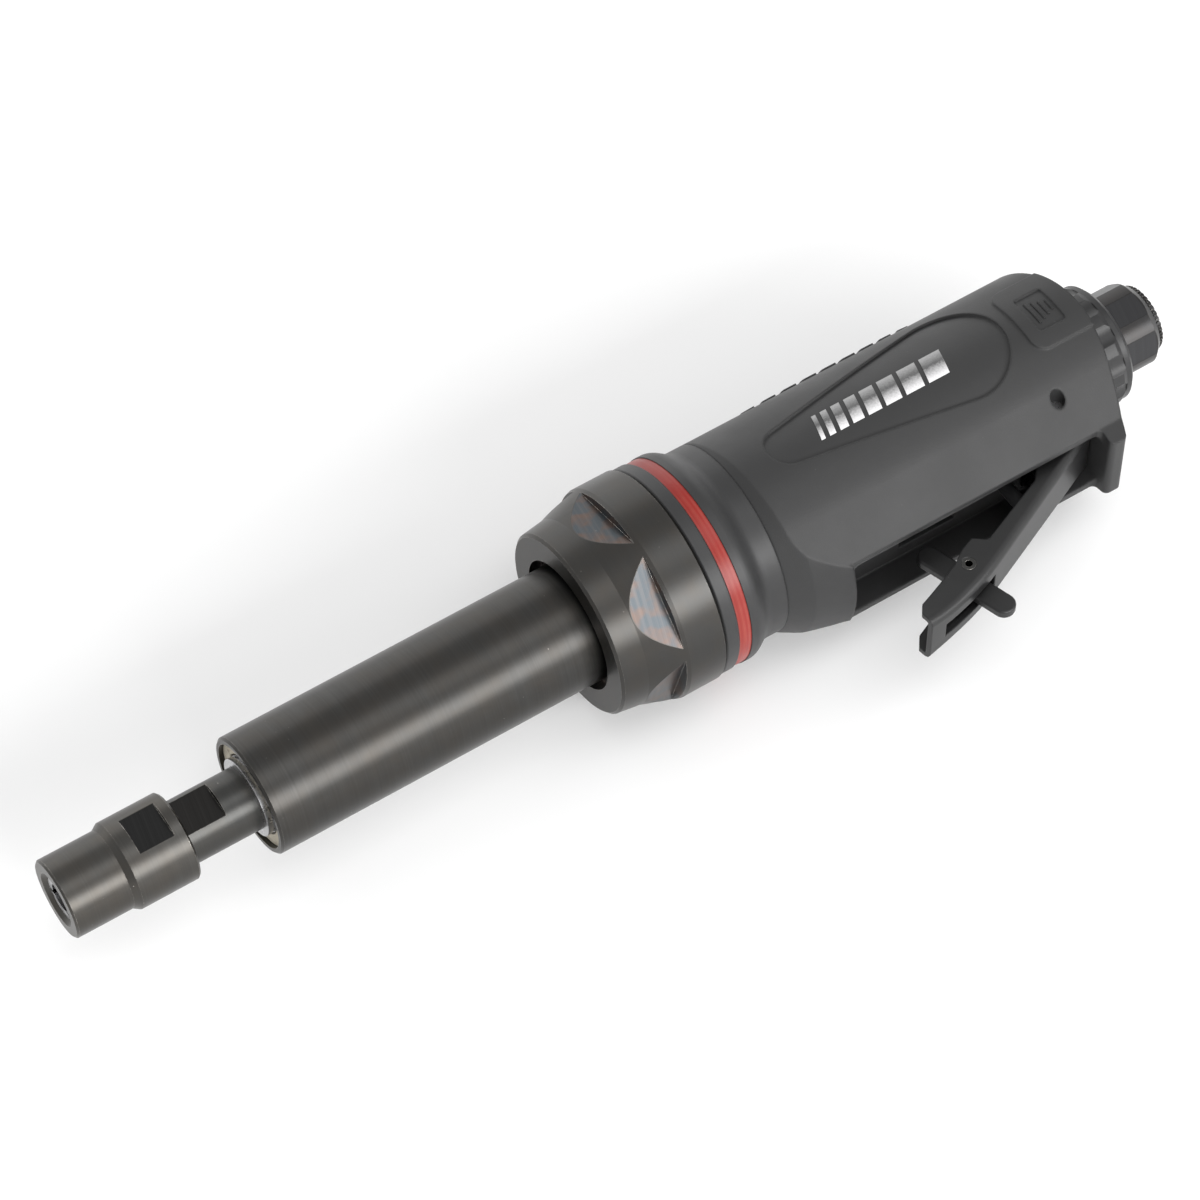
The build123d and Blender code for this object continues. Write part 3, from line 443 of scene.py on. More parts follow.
@dataclass(frozen=True)
class Finish:
    """What every finish shares.

    Attributes:
        name: The material's name.
        tone: Base colour.
        roughness: Base roughness.
        edge_radius: How far shading rounds a sharp edge, in metres.
    """

    name: str
    tone: Colour
    roughness: float
    edge_radius: float = 0.12 * MM

    def material(self) -> bpy.types.Material:
        """Gives this finish as a material, made once.

        Returns:
            The material.
        """
        found = bpy.data.materials.get(self.name)
        if found and found.get("finish_done"):
            return found
        made = bpy.data.materials.new(self.name)
        made.use_nodes = True
        made.node_tree.nodes.clear()
        graph = Graph(made.node_tree)
        surface = graph.add("BsdfPrincipled")
        leave = graph.add("OutputMaterial")
        graph.feed(leave.inputs["Surface"], surface.outputs[0])
        place = graph.add("TexCoord").outputs["Object"]
        self.wire(graph, surface, place)
        made["finish_done"] = True
        return made

    def wire(self, graph: Graph, surface: bpy.types.Node, place: bpy.types.NodeSocket) -> None:
        """Wires the finish.

        Args:
            graph: The material's tree.
            surface: Its Principled BSDF.
            place: Object coordinates.
        """
        raise NotImplementedError

    def relief(self, graph: Graph, surface: bpy.types.Node, height: Value, depth: float) -> None:
        """Adds rounded edges and a bump.

        Args:
            graph: The material's tree.
            surface: Its Principled BSDF.
            height: The bump's height, 0 to 1.
            depth: What a height of 1 is in metres.
        """
        rounded = graph.add("Bevel", samples=6)
        rounded.inputs["Radius"].default_value = self.edge_radius
        bump = graph.add("Bump")
        bump.inputs["Distance"].default_value = depth
        graph.feed(bump.inputs["Height"], height)
        graph.feed(bump.inputs["Normal"], rounded.outputs[0])
        graph.feed(surface.inputs["Normal"], bump.outputs[0])

    def dress(self, *nodes: str) -> None:
        """Puts this finish on CAD nodes.

        Args:
            nodes: Their names.
        """
        for node in nodes:
            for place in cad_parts[node].material_slots:
                place.material = self.material()


@dataclass(frozen=True)
class OxideSteel(Finish):
    """Turned steel with a black oxide skin.

    Attributes:
        pitch: Pitch of the turning lines.
        line_depth: Depth of the turning lines.
        line_tone: How much the turning lines show in the colour.
        wear_width: Width of the rubbed edges.
        wear: Strength of the rubbed edges.
        cut: Start, end, start radius and end radius of the turned profile that flats are milled below.
        cut_tone: Colour of the milled flats.
        cut_roughness: Roughness of the milled flats.
        tint: How much the milled flats show heat tint.
    """

    pitch: float = 0.45 * MM
    line_depth: float = 0.0006 * MM
    line_tone: float = 0.4
    wear_width: float = 0.22 * MM
    wear: float = 0.8
    cut: tuple[float, float, float, float] | None = None
    cut_tone: Colour = (0.03, 0.03, 0.03)
    cut_roughness: float = 0.4
    tint: float = 0.0

    def wire(self, graph: Graph, surface: bpy.types.Node, place: bpy.types.NodeSocket) -> None:
        """Wires turning lines, worn edges, milled flats and smudges."""
        lines = graph.effect(Effect.TURNED_LINES, Vector=place, Pitch=self.pitch)
        rubbed = graph.effect(Effect.EDGE_WEAR, Vector=place, Width=self.wear_width, Amount=self.wear)["Mask"]
        oily = graph.effect(Effect.SMUDGES, Vector=place, Size=7 * MM, Amount=1.0)["Mask"]
        nicks = graph.effect(Effect.SPECKS, Vector=place, Spacing=2.6 * MM, Amount=self.wear)["Mask"]
        lighter = tuple(channel * 1.5 for channel in self.tone)
        browner = (self.tone[0] * 1.12, self.tone[1] * 1.03, self.tone[2] * 0.94)
        colour = graph.mix(graph.math("MULTIPLY", lines["Tone"], self.line_tone), self.tone, lighter)
        colour = graph.mix(graph.math("MULTIPLY", oily, 0.6), colour, browner)
        scratched = graph.math("MULTIPLY", lines["Tone"], self.line_tone * 0.12)
        roughness = graph.math("ADD", self.roughness, scratched)
        roughness = graph.math("ADD", roughness, graph.math("MULTIPLY", oily, 0.04))
        height = lines["Height"]
        if self.cut:
            start, end, start_radius, end_radius = self.cut
            flat = graph.effect(Effect.MILLED_CUT, Vector=place, Start=start, End=end,
                                Start_Radius=start_radius, End_Radius=end_radius)["Mask"]
            strokes = graph.effect(Effect.TURNED_LINES, Vector=self.skewed(graph, place), Pitch=0.16 * MM)
            drift = graph.noise(place, 260.0, 2.0)
            warm = (self.cut_tone[0] * 1.25, self.cut_tone[1] * 0.98, self.cut_tone[2] * 0.86)
            cool = (self.cut_tone[0] * 0.72, self.cut_tone[1] * 0.95, self.cut_tone[2] * 1.12)
            heat = graph.mix(graph.remap(drift, 0.40, 0.60), warm, cool)
            milled = graph.mix(self.tint, self.cut_tone, heat)
            milled = graph.mix(graph.math("MULTIPLY", strokes["Tone"], 0.45), milled,
                               tuple(channel * 1.7 for channel in self.cut_tone))
            colour = graph.mix(flat, colour, milled)
            rough_flat = graph.math("ADD", self.cut_roughness, graph.math("MULTIPLY", strokes["Tone"], 0.1))
            roughness = graph.blend(flat, roughness, rough_flat)
            height = graph.blend(flat, height, strokes["Height"])
        bare = graph.math("MAXIMUM", rubbed, nicks)
        colour = graph.mix(bare, colour, (0.42, 0.40, 0.37))
        roughness = graph.blend(bare, roughness, 0.34)
        graph.feed(surface.inputs["Base Color"], colour)
        graph.feed(surface.inputs["Roughness"], roughness)
        surface.inputs["Metallic"].default_value = 1.0
        self.relief(graph, surface, height, self.line_depth)

    def skewed(self, graph: Graph, place: bpy.types.NodeSocket) -> bpy.types.NodeSocket:
        """Turns the position a little, so that milling strokes run slightly off square.

        Args:
            graph: The material's tree.
            place: Object coordinates.

        Returns:
            The turned coordinates.
        """
        mapping = graph.add("Mapping")
        mapping.inputs["Rotation"].default_value = (0.0, 0.0, math.radians(11.0))
        graph.feed(mapping.inputs["Vector"], place)
        return mapping.outputs[0]


@dataclass(frozen=True)
class GlossCoat(Finish):
    """Smooth black coating or polished moulding.

    Attributes:
        ripple: Depth of the orange-peel.
        wear: Strength of the rubbed edges.
        bare: Colour under the coating.
        coat: Clear coat over it.
    """

    ripple: float = 0.004 * MM
    wear: float = 0.25
    bare: Colour = (0.10, 0.10, 0.10)
    coat: float = 0.0

    def wire(self, graph: Graph, surface: bpy.types.Node, place: bpy.types.NodeSocket) -> None:
        """Wires ripple, handling smudges, nicks and rubbed edges."""
        rubbed = graph.effect(Effect.EDGE_WEAR, Vector=place, Width=0.2 * MM, Amount=self.wear)["Mask"]
        oily = graph.effect(Effect.SMUDGES, Vector=place, Size=6 * MM, Amount=1.0)["Mask"]
        nicks = graph.effect(Effect.SPECKS, Vector=place, Spacing=2.4 * MM, Amount=0.4)["Mask"]
        colour = graph.mix(graph.math("MULTIPLY", oily, 0.5), self.tone,
                           tuple(channel * 1.5 + 0.003 for channel in self.tone))
        colour = graph.mix(graph.math("MAXIMUM", rubbed, nicks), colour, self.bare)
        roughness = graph.math("ADD", self.roughness, graph.math("MULTIPLY", oily, 0.10))
        roughness = graph.blend(rubbed, roughness, 0.4)
        graph.feed(surface.inputs["Base Color"], colour)
        graph.feed(surface.inputs["Roughness"], roughness)
        surface.inputs["Coat Weight"].default_value = self.coat
        surface.inputs["Coat Roughness"].default_value = 0.05
        self.relief(graph, surface, graph.noise(place, 900.0, 2.0), self.ripple)


@dataclass(frozen=True)
class MouldedPlastic(Finish):
    """Grained or satin moulding, and rubber.

    Attributes:
        grain: Size of the mould grain.
        grain_depth: Depth of the mould grain.
        patch: How much the colour drifts.
        scuff: Colour of scuffs.
        scuff_amount: Strength of scuffs on the edges.
        streak: Strength of scuffs along the turning direction.
        gloss: Specular level.
    """

    grain: float = 0.26 * MM
    grain_depth: float = 0.012 * MM
    patch: float = 0.3
    scuff: Colour = (0.12, 0.12, 0.12)
    scuff_amount: float = 0.15
    streak: float = 0.0
    gloss: float = 0.5

    def wire(self, graph: Graph, surface: bpy.types.Node, place: bpy.types.NodeSocket) -> None:
        """Wires mould grain, colour drift, dust and scuffs."""
        grain = graph.effect(Effect.MOULD_GRAIN, Vector=place, Size=self.grain)
        oily = graph.effect(Effect.SMUDGES, Vector=place, Size=14 * MM, Amount=1.0)["Mask"]
        dust = graph.effect(Effect.SPECKS, Vector=place, Spacing=3.0 * MM, Amount=0.5)["Mask"]
        streaks = graph.effect(Effect.TURNED_LINES, Vector=place, Pitch=0.12 * MM)
        rubbed = graph.effect(
            Effect.EDGE_WEAR, Vector=place, Width=0.3 * MM, Amount=self.scuff_amount)["Mask"]
        colour = graph.mix(graph.math("MULTIPLY", grain["Tone"], self.patch), self.tone,
                           tuple(channel * 1.45 for channel in self.tone))
        scuffed = graph.math("MULTIPLY", graph.math("MULTIPLY", streaks["Tone"], oily), self.streak)
        worn = graph.math("MAXIMUM", scuffed, rubbed)
        marks = graph.math("MAXIMUM", worn, graph.math("MULTIPLY", dust, 0.5))
        colour = graph.mix(marks, colour, self.scuff)
        roughness = graph.math("SUBTRACT", self.roughness, graph.math("MULTIPLY", oily, 0.07))
        graph.feed(surface.inputs["Base Color"], colour)
        graph.feed(surface.inputs["Roughness"], roughness)
        surface.inputs["Specular IOR Level"].default_value = self.gloss
        self.relief(graph, surface, grain["Height"], self.grain_depth)


@dataclass(frozen=True)
class PlainMetal(Finish):
    """Ground, turned or cast metal inside the tool.

    Attributes:
        pitch: Pitch of the grinding lines.
        pits: Depth of the surface.
    """

    pitch: float = 0.2 * MM
    pits: float = 0.003 * MM

    def wire(self, graph: Graph, surface: bpy.types.Node, place: bpy.types.NodeSocket) -> None:
        """Wires grinding lines and an oil film."""
        lines = graph.effect(Effect.TURNED_LINES, Vector=place, Pitch=self.pitch)
        oily = graph.effect(Effect.SMUDGES, Vector=place, Size=4 * MM, Amount=1.0)["Mask"]
        darker = tuple(channel * 0.6 for channel in self.tone)
        colour = graph.mix(graph.math("MULTIPLY", lines["Tone"], 0.5), self.tone, darker)
        colour = graph.mix(graph.math("MULTIPLY", oily, 0.4), colour, darker)
        graph.feed(surface.inputs["Base Color"], colour)
        graph.feed(surface.inputs["Roughness"],
                   graph.math("ADD", self.roughness, graph.math("MULTIPLY", oily, 0.12)))
        surface.inputs["Metallic"].default_value = 1.0
        self.relief(graph, surface, lines["Height"], self.pits)


@dataclass(frozen=True)
class Felt(Finish):
    """Pressed felt with oil spots.

    Attributes:
        spot: Colour of the oil spots.
    """

    spot: Colour = (0.22, 0.15, 0.08)

    def wire(self, graph: Graph, surface: bpy.types.Node, place: bpy.types.NodeSocket) -> None:
        """Wires matted fibres and oil spots."""
        fibres = graph.noise(place, 5200.0, 5.0, 0.7)
        spots = graph.remap(graph.noise(place, 620.0, 3.0, 0.6), 0.60, 0.70)
        darker = tuple(channel * 0.72 for channel in self.tone)
        colour = graph.mix(graph.remap(fibres, 0.4, 0.6), self.tone, darker)
        spotted = graph.mix(graph.math("MULTIPLY", spots, 0.7), colour, self.spot)
        graph.feed(surface.inputs["Base Color"], spotted)
        graph.feed(surface.inputs["Roughness"], graph.remap(fibres, 0.3, 0.7, 0.85, 0.97))
        surface.inputs["Sheen Weight"].default_value = 0.3
        self.relief(graph, surface, fibres, 0.05 * MM)


@dataclass(frozen=True)
class FoilPrint(Finish):
    """Bright foil with painted shade running across the bars, light at the lower edge and dark at the upper.

    Attributes:
        painted_shade: Painted shade colour at the upper edge.
        low: Where the painted light edge is, along Y.
        high: Where the painted dark edge is, along Y.
    """

    painted_shade: Colour = (0.10, 0.10, 0.10)
    low: float = -3.5 * MM
    high: float = 3.5 * MM

    def wire(self, graph: Graph, surface: bpy.types.Node, place: bpy.types.NodeSocket) -> None:
        """Wires the painted shade gradient and a faint wear."""
        _, y, _ = graph.axes(place)
        worn = graph.noise(place, 2400.0, 3.0)
        across = graph.math("ADD", graph.remap(y, self.low, self.high),
                            graph.remap(worn, 0.3, 0.7, -0.05, 0.05, clamp=False), clamp=True)
        # Painted shade: the foil's colour runs from bright at the lower edge to dark at the upper, standing
        # in for how light falls on the foil.
        ramp = graph.add("ValToRGB")
        stops = ramp.color_ramp.elements
        stops[0].position, stops[0].color = 0.12, (*self.tone, 1.0)
        stops[1].position, stops[1].color = 1.0, (*(channel * 3.2 for channel in self.painted_shade), 1.0)
        middle = stops.new(0.62)
        middle.color = (*self.painted_shade, 1.0)
        graph.feed(ramp.inputs[0], across)
        graph.feed(surface.inputs["Base Color"], ramp.outputs[0])
        roughness = graph.remap(worn, 0.3, 0.7, self.roughness, self.roughness + 0.15)
        graph.feed(surface.inputs["Roughness"], roughness)
        surface.inputs["Metallic"].default_value = 0.35
        self.relief(graph, surface, worn, 0.004 * MM)


def finished(body: bmesh.types.BMesh, name: str, finish: Finish, rides: str) -> bpy.types.Object:
    """Turns a bmesh into a piece of the model.

    Args:
        body: The mesh, in place; it is freed.
        name: The piece's name.
        finish: Its finish.
        rides: The CAD body that it moves with.

    Returns:
        The piece.
    """
    bmesh.ops.recalc_face_normals(body, faces=body.faces)
    mesh = bpy.data.meshes.new(name)
    body.to_mesh(mesh)
    body.free()
    piece = bpy.data.objects.new(name, mesh)
    bpy.context.scene.collection.objects.link(piece)
    mesh.materials.append(finish.material())
    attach(piece, rides)
    LOG.info("%s: %d faces on %s", name, len(mesh.polygons), rides)
    return piece


@dataclass
class SurfaceFinder:
    """Finds the outer skin of a CAD node.

    Attributes:
        node: The node's name.
    """

    node: str

    def __post_init__(self) -> None:
        """Reads the node's faces."""
        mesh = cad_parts[self.node].data
        self.tree = BVHTree.FromPolygons([vertex.co for vertex in mesh.vertices],
                                         [tuple(face.vertices) for face in mesh.polygons])

    def skin(self, x: float, y: float, side: Side, above: float) -> Vector:
        """Gives the point on a flank.

        Args:
            x: Place along the spindle.
            y: Place across it.
            side: Which flank.
            above: Height over the skin.

        Returns:
            The point.
        """
        start = Vector((x, y, side.value * RAY_START))
        hit = self.tree.ray_cast(start, Vector((0.0, 0.0, -side.value)))[0]
        return Vector((x, y, hit.z + side.value * above))


RAY_START = 80 * MM
OXIDE = (0.058, 0.057, 0.055)
NUT_STEEL = OxideSteel(
    "black_oxide_nut", OXIDE, 0.07, wear=0.75, wear_width=0.2 * MM, line_depth=0.0001 * MM, line_tone=0.12,
    pitch=0.3 * MM, cut=(121.0 * MM, 132.55 * MM, 20.16 * MM, 23.92 * MM), cut_tone=(0.075, 0.068, 0.065),
    cut_roughness=0.3, tint=0.9)
COLLET_NUT_STEEL = OxideSteel(
    "black_oxide_collet_nut", (0.072, 0.07, 0.066), 0.13, wear=1.0, wear_width=0.25 * MM, pitch=0.35 * MM,
    line_tone=0.25, cut=(16.9 * MM, 24.8 * MM, 9.55 * MM, 9.55 * MM), cut_tone=(0.028, 0.028, 0.028))
SPINDLE_STEEL = OxideSteel(
    "black_oxide_spindle", (0.062, 0.062, 0.06), 0.13, wear=0.9, pitch=0.3 * MM, line_tone=0.2,
    cut=(27.3 * MM, 36.3 * MM, 6.9 * MM, 6.9 * MM), cut_tone=(0.028, 0.027, 0.026))
TUBE_STEEL = OxideSteel(
    "black_oxide_tube", (0.052, 0.051, 0.049), 0.075, wear=0.6, pitch=0.5 * MM, line_tone=0.4)
INLET_STEEL = OxideSteel(
    "black_oxide_inlet", (0.042, 0.042, 0.043), 0.1, wear=0.45, pitch=0.3 * MM, line_tone=0.2,
    cut=(252.4 * MM, 260.8 * MM, 9.5 * MM, 9.5 * MM), cut_tone=(0.05, 0.05, 0.052), cut_roughness=0.2)
HANDLE_PLASTIC = MouldedPlastic(
    "charcoal_housing", (0.021, 0.021, 0.0213), 0.5, 0.8 * MM, grain_depth=0.022 * MM,
    scuff_amount=0.1, gloss=0.4)
COLLAR_RUBBER = MouldedPlastic(
    "soft_black_collar", (0.017, 0.017, 0.0175), 0.46, 0.35 * MM, grain=0.2 * MM, grain_depth=0.01 * MM,
    streak=0.06, gloss=0.45)
INLAY_RUBBER = MouldedPlastic("soft_black_inlay", (0.014, 0.014, 0.0145), 0.6, 0.3 * MM, grain=0.3 * MM)
RED_BAND = MouldedPlastic(
    "red_band", (0.215, 0.010, 0.006), 0.36, 0.15 * MM, grain=0.5 * MM, grain_depth=0.003 * MM, patch=0.35,
    scuff=(0.42, 0.12, 0.09), scuff_amount=0.4, streak=0.5, gloss=0.4)
LEVER_COAT = GlossCoat("gloss_black_lever", (0.005, 0.005, 0.0052), 0.12, 0.5 * MM, wear=0.12)
LATCH_COAT = GlossCoat("gloss_black_latch", (0.005, 0.005, 0.0052), 0.09, 0.35 * MM, wear=0.12)
STEM_COAT = GlossCoat("gloss_black_stem", (0.02, 0.02, 0.021), 0.15, wear=0.5)
SLEEVE_COAT = GlossCoat("gloss_black_sleeve_coat", (0.02, 0.02, 0.021), 0.12, wear=0.1)
RING_PLASTIC = GlossCoat("dark_ring_plastic", (0.010, 0.010, 0.0105), 0.2, 0.3 * MM, wear=0.12)
BRIGHT_STEEL = PlainMetal("ground_steel", (0.52, 0.52, 0.53), 0.24)
DULL_STEEL = PlainMetal("oiled_dull_steel", (0.16, 0.155, 0.14), 0.3)
CAST_STEEL = PlainMetal("cast_iron_grey", (0.22, 0.22, 0.225), 0.42, pits=0.01 * MM)
BRASS = PlainMetal("turned_brass", (0.66, 0.47, 0.20), 0.28)
ALUMINIUM = PlainMetal("machined_aluminium", (0.60, 0.60, 0.62), 0.3)
CREAM_FELT = Felt("cream_oiled_felt", (0.66, 0.60, 0.47), 0.9)
GREY_FELT = Felt("grey_pressed_felt", (0.17, 0.17, 0.17), 0.9, spot=(0.05, 0.05, 0.05))
RESIN = MouldedPlastic("laminated_resin", (0.20, 0.09, 0.04), 0.5, grain=0.4 * MM)
SEAL_RUBBER = MouldedPlastic("seal_rubber", (0.02, 0.02, 0.021), 0.55, grain=0.2 * MM)
# Silver foil whose material paints shade across the bars: bright below, dark above.
FOIL = FoilPrint("silver_foil_painted_shade", (0.93, 0.92, 0.93), 0.28, 0.03 * MM)


@dataclass
class SpindleNose:
    """Collet, collet nut and the turning group behind them."""

    def build(self) -> None:
        """Dresses the nose's nodes."""
        COLLET_NUT_STEEL.dress("collet_nut")
        SPINDLE_STEEL.dress("spindle")
        BRIGHT_STEEL.dress(
            "collet", "oil_slinger", "spindle_inner_races", "spindle_outer_races", "spindle_balls",
            "bearing_spacer", "bearing_distance_sleeve", "preload_washer", "drive_coupling")
        DULL_STEEL.dress("seal_washer")


@dataclass
class BarrelStack:
    """Extension tube, clamp nut and the rings behind it."""

    def build(self) -> None:
        """Dresses the barrel's nodes."""
        TUBE_STEEL.dress("extension_tube")
        NUT_STEEL.dress("clamp_nut")
        CREAM_FELT.dress("felt_seal")
        COLLAR_RUBBER.dress("spacer_ring", "front_collar")
        RED_BAND.dress("colour_band")


@dataclass
class VaneMotor:
    """The air motor inside the handle."""

    def build(self) -> None:
        """Dresses the motor's nodes."""
        SLEEVE_COAT.dress("motor_housing")
        CAST_STEEL.dress("front_end_plate", "rear_end_plate", "cylinder_liner")
        BRIGHT_STEEL.dress("rotor", "motor_outer_races", "motor_inner_races", "motor_balls", "locating_dowel")
        RESIN.dress("rotor_blades")
        SEAL_RUBBER.dress("motor_gasket", "valve_seal")


@dataclass
class Handle:
    """Moulded grip with its flank bars and the small mark at the rear.

    Attributes:
        bar_start: Where the first bar begins along the spindle.
        bar_gap: Gap between bars.
        bar_widths: Width of each bar.
        bar_height: How tall the bars are across the handle.
        bar_centre: Height of their middle.
        bar_lean: How far a bar's top leans back, per unit of height.
        bar_proud: How far the foil stands over the skin.
        mark_start: Where the mark's first rib begins.
        mark_pitch: Pitch of the mark's ribs.
        mark_count: Number of ribs.
        mark_width: Width of a rib.
        mark_height: Height of the tallest rib.
        mark_proud: How far a rib stands over its recess.
    """

    bar_start: float = 179.0 * MM
    bar_gap: float = 1.1 * MM
    bar_widths: tuple[float, ...] = (
        1.0 * MM, 1.5 * MM, 2.1 * MM, 2.7 * MM, 3.3 * MM, 3.9 * MM, 4.5 * MM, 5.1 * MM)
    bar_height: float = 6.4 * MM
    bar_centre: float = 0.4 * MM
    bar_lean: float = 0.27
    bar_proud: float = 0.08 * MM
    mark_start: float = 232.6 * MM
    mark_pitch: float = 1.4 * MM
    mark_count: int = 4
    mark_width: float = 0.55 * MM
    mark_height: float = 6.0 * MM
    mark_proud: float = 0.22 * MM

    def build(self) -> None:
        """Dresses the handle and adds its bars and mark."""
        HANDLE_PLASTIC.dress("handle_housing")
        INLAY_RUBBER.dress("grip_inlay")
        BRIGHT_STEEL.dress("lever_pivot_pin")
        LATCH_COAT.dress("trim_ring")
        self.finder = SurfaceFinder("handle_housing")
        for side in Side:
            self.flank_bars(side)
            self.rear_mark(side)

    def plate(self, body: bmesh.types.BMesh, start: float, width: float, centre: float, height: float,
              lean: float) -> list[bmesh.types.BMVert]:
        """Lays one leaning plate flat.

        Args:
            body: The mesh it goes into.
            start: Its front edge along the spindle.
            width: Its width.
            centre: Its middle across the handle.
            height: Its height.
            lean: How far its top leans back, per unit of height.

        Returns:
            Its vertices.
        """
        grid = bmesh.ops.create_grid(body, x_segments=3, y_segments=8, size=0.5)["verts"]
        shear = Matrix(((width, lean * height, 0, 0), (0, height, 0, 0), (0, 0, 1, 0), (0, 0, 0, 1)))
        place = Matrix.Translation((start + width / 2, centre, 0))
        bmesh.ops.transform(body, matrix=place @ shear, verts=grid)
        return grid

    def raise_plates(self, body: bmesh.types.BMesh, side: Side, proud: float) -> None:
        """Drapes flat plates on a flank and gives them thickness.

        Args:
            body: The mesh of flat plates.
            side: Which flank.
            proud: How far they stand over the skin.
        """
        sunk = 0.05 * MM
        for vertex in body.verts:
            vertex.co = self.finder.skin(vertex.co.x, vertex.co.y, side, -sunk)
        top = bmesh.ops.extrude_face_region(body, geom=list(body.faces))["geom"]
        lifted = [item for item in top if isinstance(item, bmesh.types.BMVert)]
        bmesh.ops.translate(body, verts=lifted, vec=(0, 0, side.value * (sunk + proud)))

    def flank_bars(self, side: Side) -> None:
        """Makes the row of leaning foil bars on a flank.

        Args:
            side: Which flank.
        """
        body = bmesh.new()
        start = self.bar_start
        for width in self.bar_widths:
            self.plate(body, start, width, self.bar_centre, self.bar_height, self.bar_lean)
            start += width + self.bar_gap
        self.raise_plates(body, side, self.bar_proud)
        finished(body, f"foil_bars_{side.name.lower()}", FOIL, "body")

    def rear_mark(self, side: Side) -> None:
        """Makes the small ribbed mark behind the flank.

        Args:
            side: Which flank.
        """
        body = bmesh.new()
        for index in range(self.mark_count):
            height = self.mark_height * (1.0 - 0.18 * index)
            self.plate(body, self.mark_start + index * self.mark_pitch, self.mark_width, 0.0, height, 0.0)
        self.raise_plates(body, side, self.mark_proud)
        finished(body, f"rear_mark_{side.name.lower()}", HANDLE_PLASTIC, "body")


@dataclass
class Throttle:
    """Lever, safety latch and the valve that they open."""

    def build(self) -> None:
        """Dresses the throttle's nodes."""
        LEVER_COAT.dress("throttle_lever")
        LATCH_COAT.dress("safety_latch")
        STEM_COAT.dress("valve_stem")
        BRIGHT_STEEL.dress("latch_spring", "valve_spring")
        SPINDLE_STEEL.dress("latch_pin")
        ALUMINIUM.dress("valve_body")
        BRASS.dress("valve_bushing")


@dataclass
class AirInlet:
    """Inlet, its screen, the silencer and the regulator ring.

    Attributes:
        tooth_count: Teeth round the inlet's lip.
        tooth_start: Where they begin along the spindle.
        tooth_length: Their length.
        tooth_width: Their width.
        tooth_radius: Radius at their middle.
        tooth_height: Their height.
        tooth_edge: Width of their bevelled edges.
    """

    tooth_count: int = 56
    tooth_start: float = 262.75 * MM
    tooth_length: float = 0.75 * MM
    tooth_width: float = 0.42 * MM
    tooth_radius: float = 7.42 * MM
    tooth_height: float = 0.34 * MM
    tooth_edge: float = 0.06 * MM

    def build(self) -> None:
        """Dresses the inlet's nodes and adds the toothed lip."""
        INLET_STEEL.dress("inlet_bushing")
        BRASS.dress("inlet_screen")
        GREY_FELT.dress("exhaust_silencer")
        RING_PLASTIC.dress("regulator_ring")
        self.toothed_lip()

    def toothed_lip(self) -> None:
        """Makes the fine teeth round the inlet's lip."""
        body = bmesh.new()
        tooth = bmesh.ops.create_cube(body, size=1.0)["verts"]
        size = Matrix.Diagonal((self.tooth_length, self.tooth_width, self.tooth_height, 1.0))
        place = Matrix.Translation((self.tooth_start + self.tooth_length / 2, 0.0, self.tooth_radius))
        bmesh.ops.transform(body, matrix=place @ size, verts=tooth)
        bmesh.ops.bevel(
            body, geom=list(body.edges), offset=self.tooth_edge, segments=1, profile=0.5,
            affect="EDGES", material=-1)
        step = 2 * math.pi / self.tooth_count
        bmesh.ops.spin(
            body, geom=body.verts[:] + body.edges[:] + body.faces[:], axis=(1, 0, 0), cent=(0, 0, 0),
            angle=step * (self.tooth_count - 1), steps=self.tooth_count - 1, use_duplicate=True)
        finished(body, "inlet_lip_teeth", INLET_STEEL, "body")


@dataclass
class Softbox:
    """A rectangular studio light.

    Attributes:
        name: The light's name.
        angle: Its direction round the spindle's axis, in degrees from +Y.
        distance: How far it is from that axis.
        along: Its middle along the spindle.
        length: Its size along the spindle.
        height: Its other size.
        radiance: How bright its face is.
    """

    name: str
    angle: float
    distance: float
    along: float
    length: float
    height: float
    radiance: float

    def build(self) -> None:
        """Hangs the light facing the spindle."""
        lamp = bpy.data.lights.new(self.name, "AREA")
        lamp.shape = "RECTANGLE"
        lamp.size, lamp.size_y = self.length, self.height
        lamp.energy = self.radiance * math.pi * self.length * self.height
        holder = bpy.data.objects.new(self.name, lamp)
        turn = math.radians(self.angle)
        outward = Vector((0.0, math.cos(turn), math.sin(turn)))
        across = Vector((1.0, 0.0, 0.0))
        basis = Matrix((across, outward.cross(across), outward)).transposed().to_4x4()
        holder.matrix_world = Matrix.Translation(Vector((self.along, 0, 0)) + outward * self.distance) @ basis
        holder.visible_camera = False
        bpy.context.scene.collection.objects.link(holder)


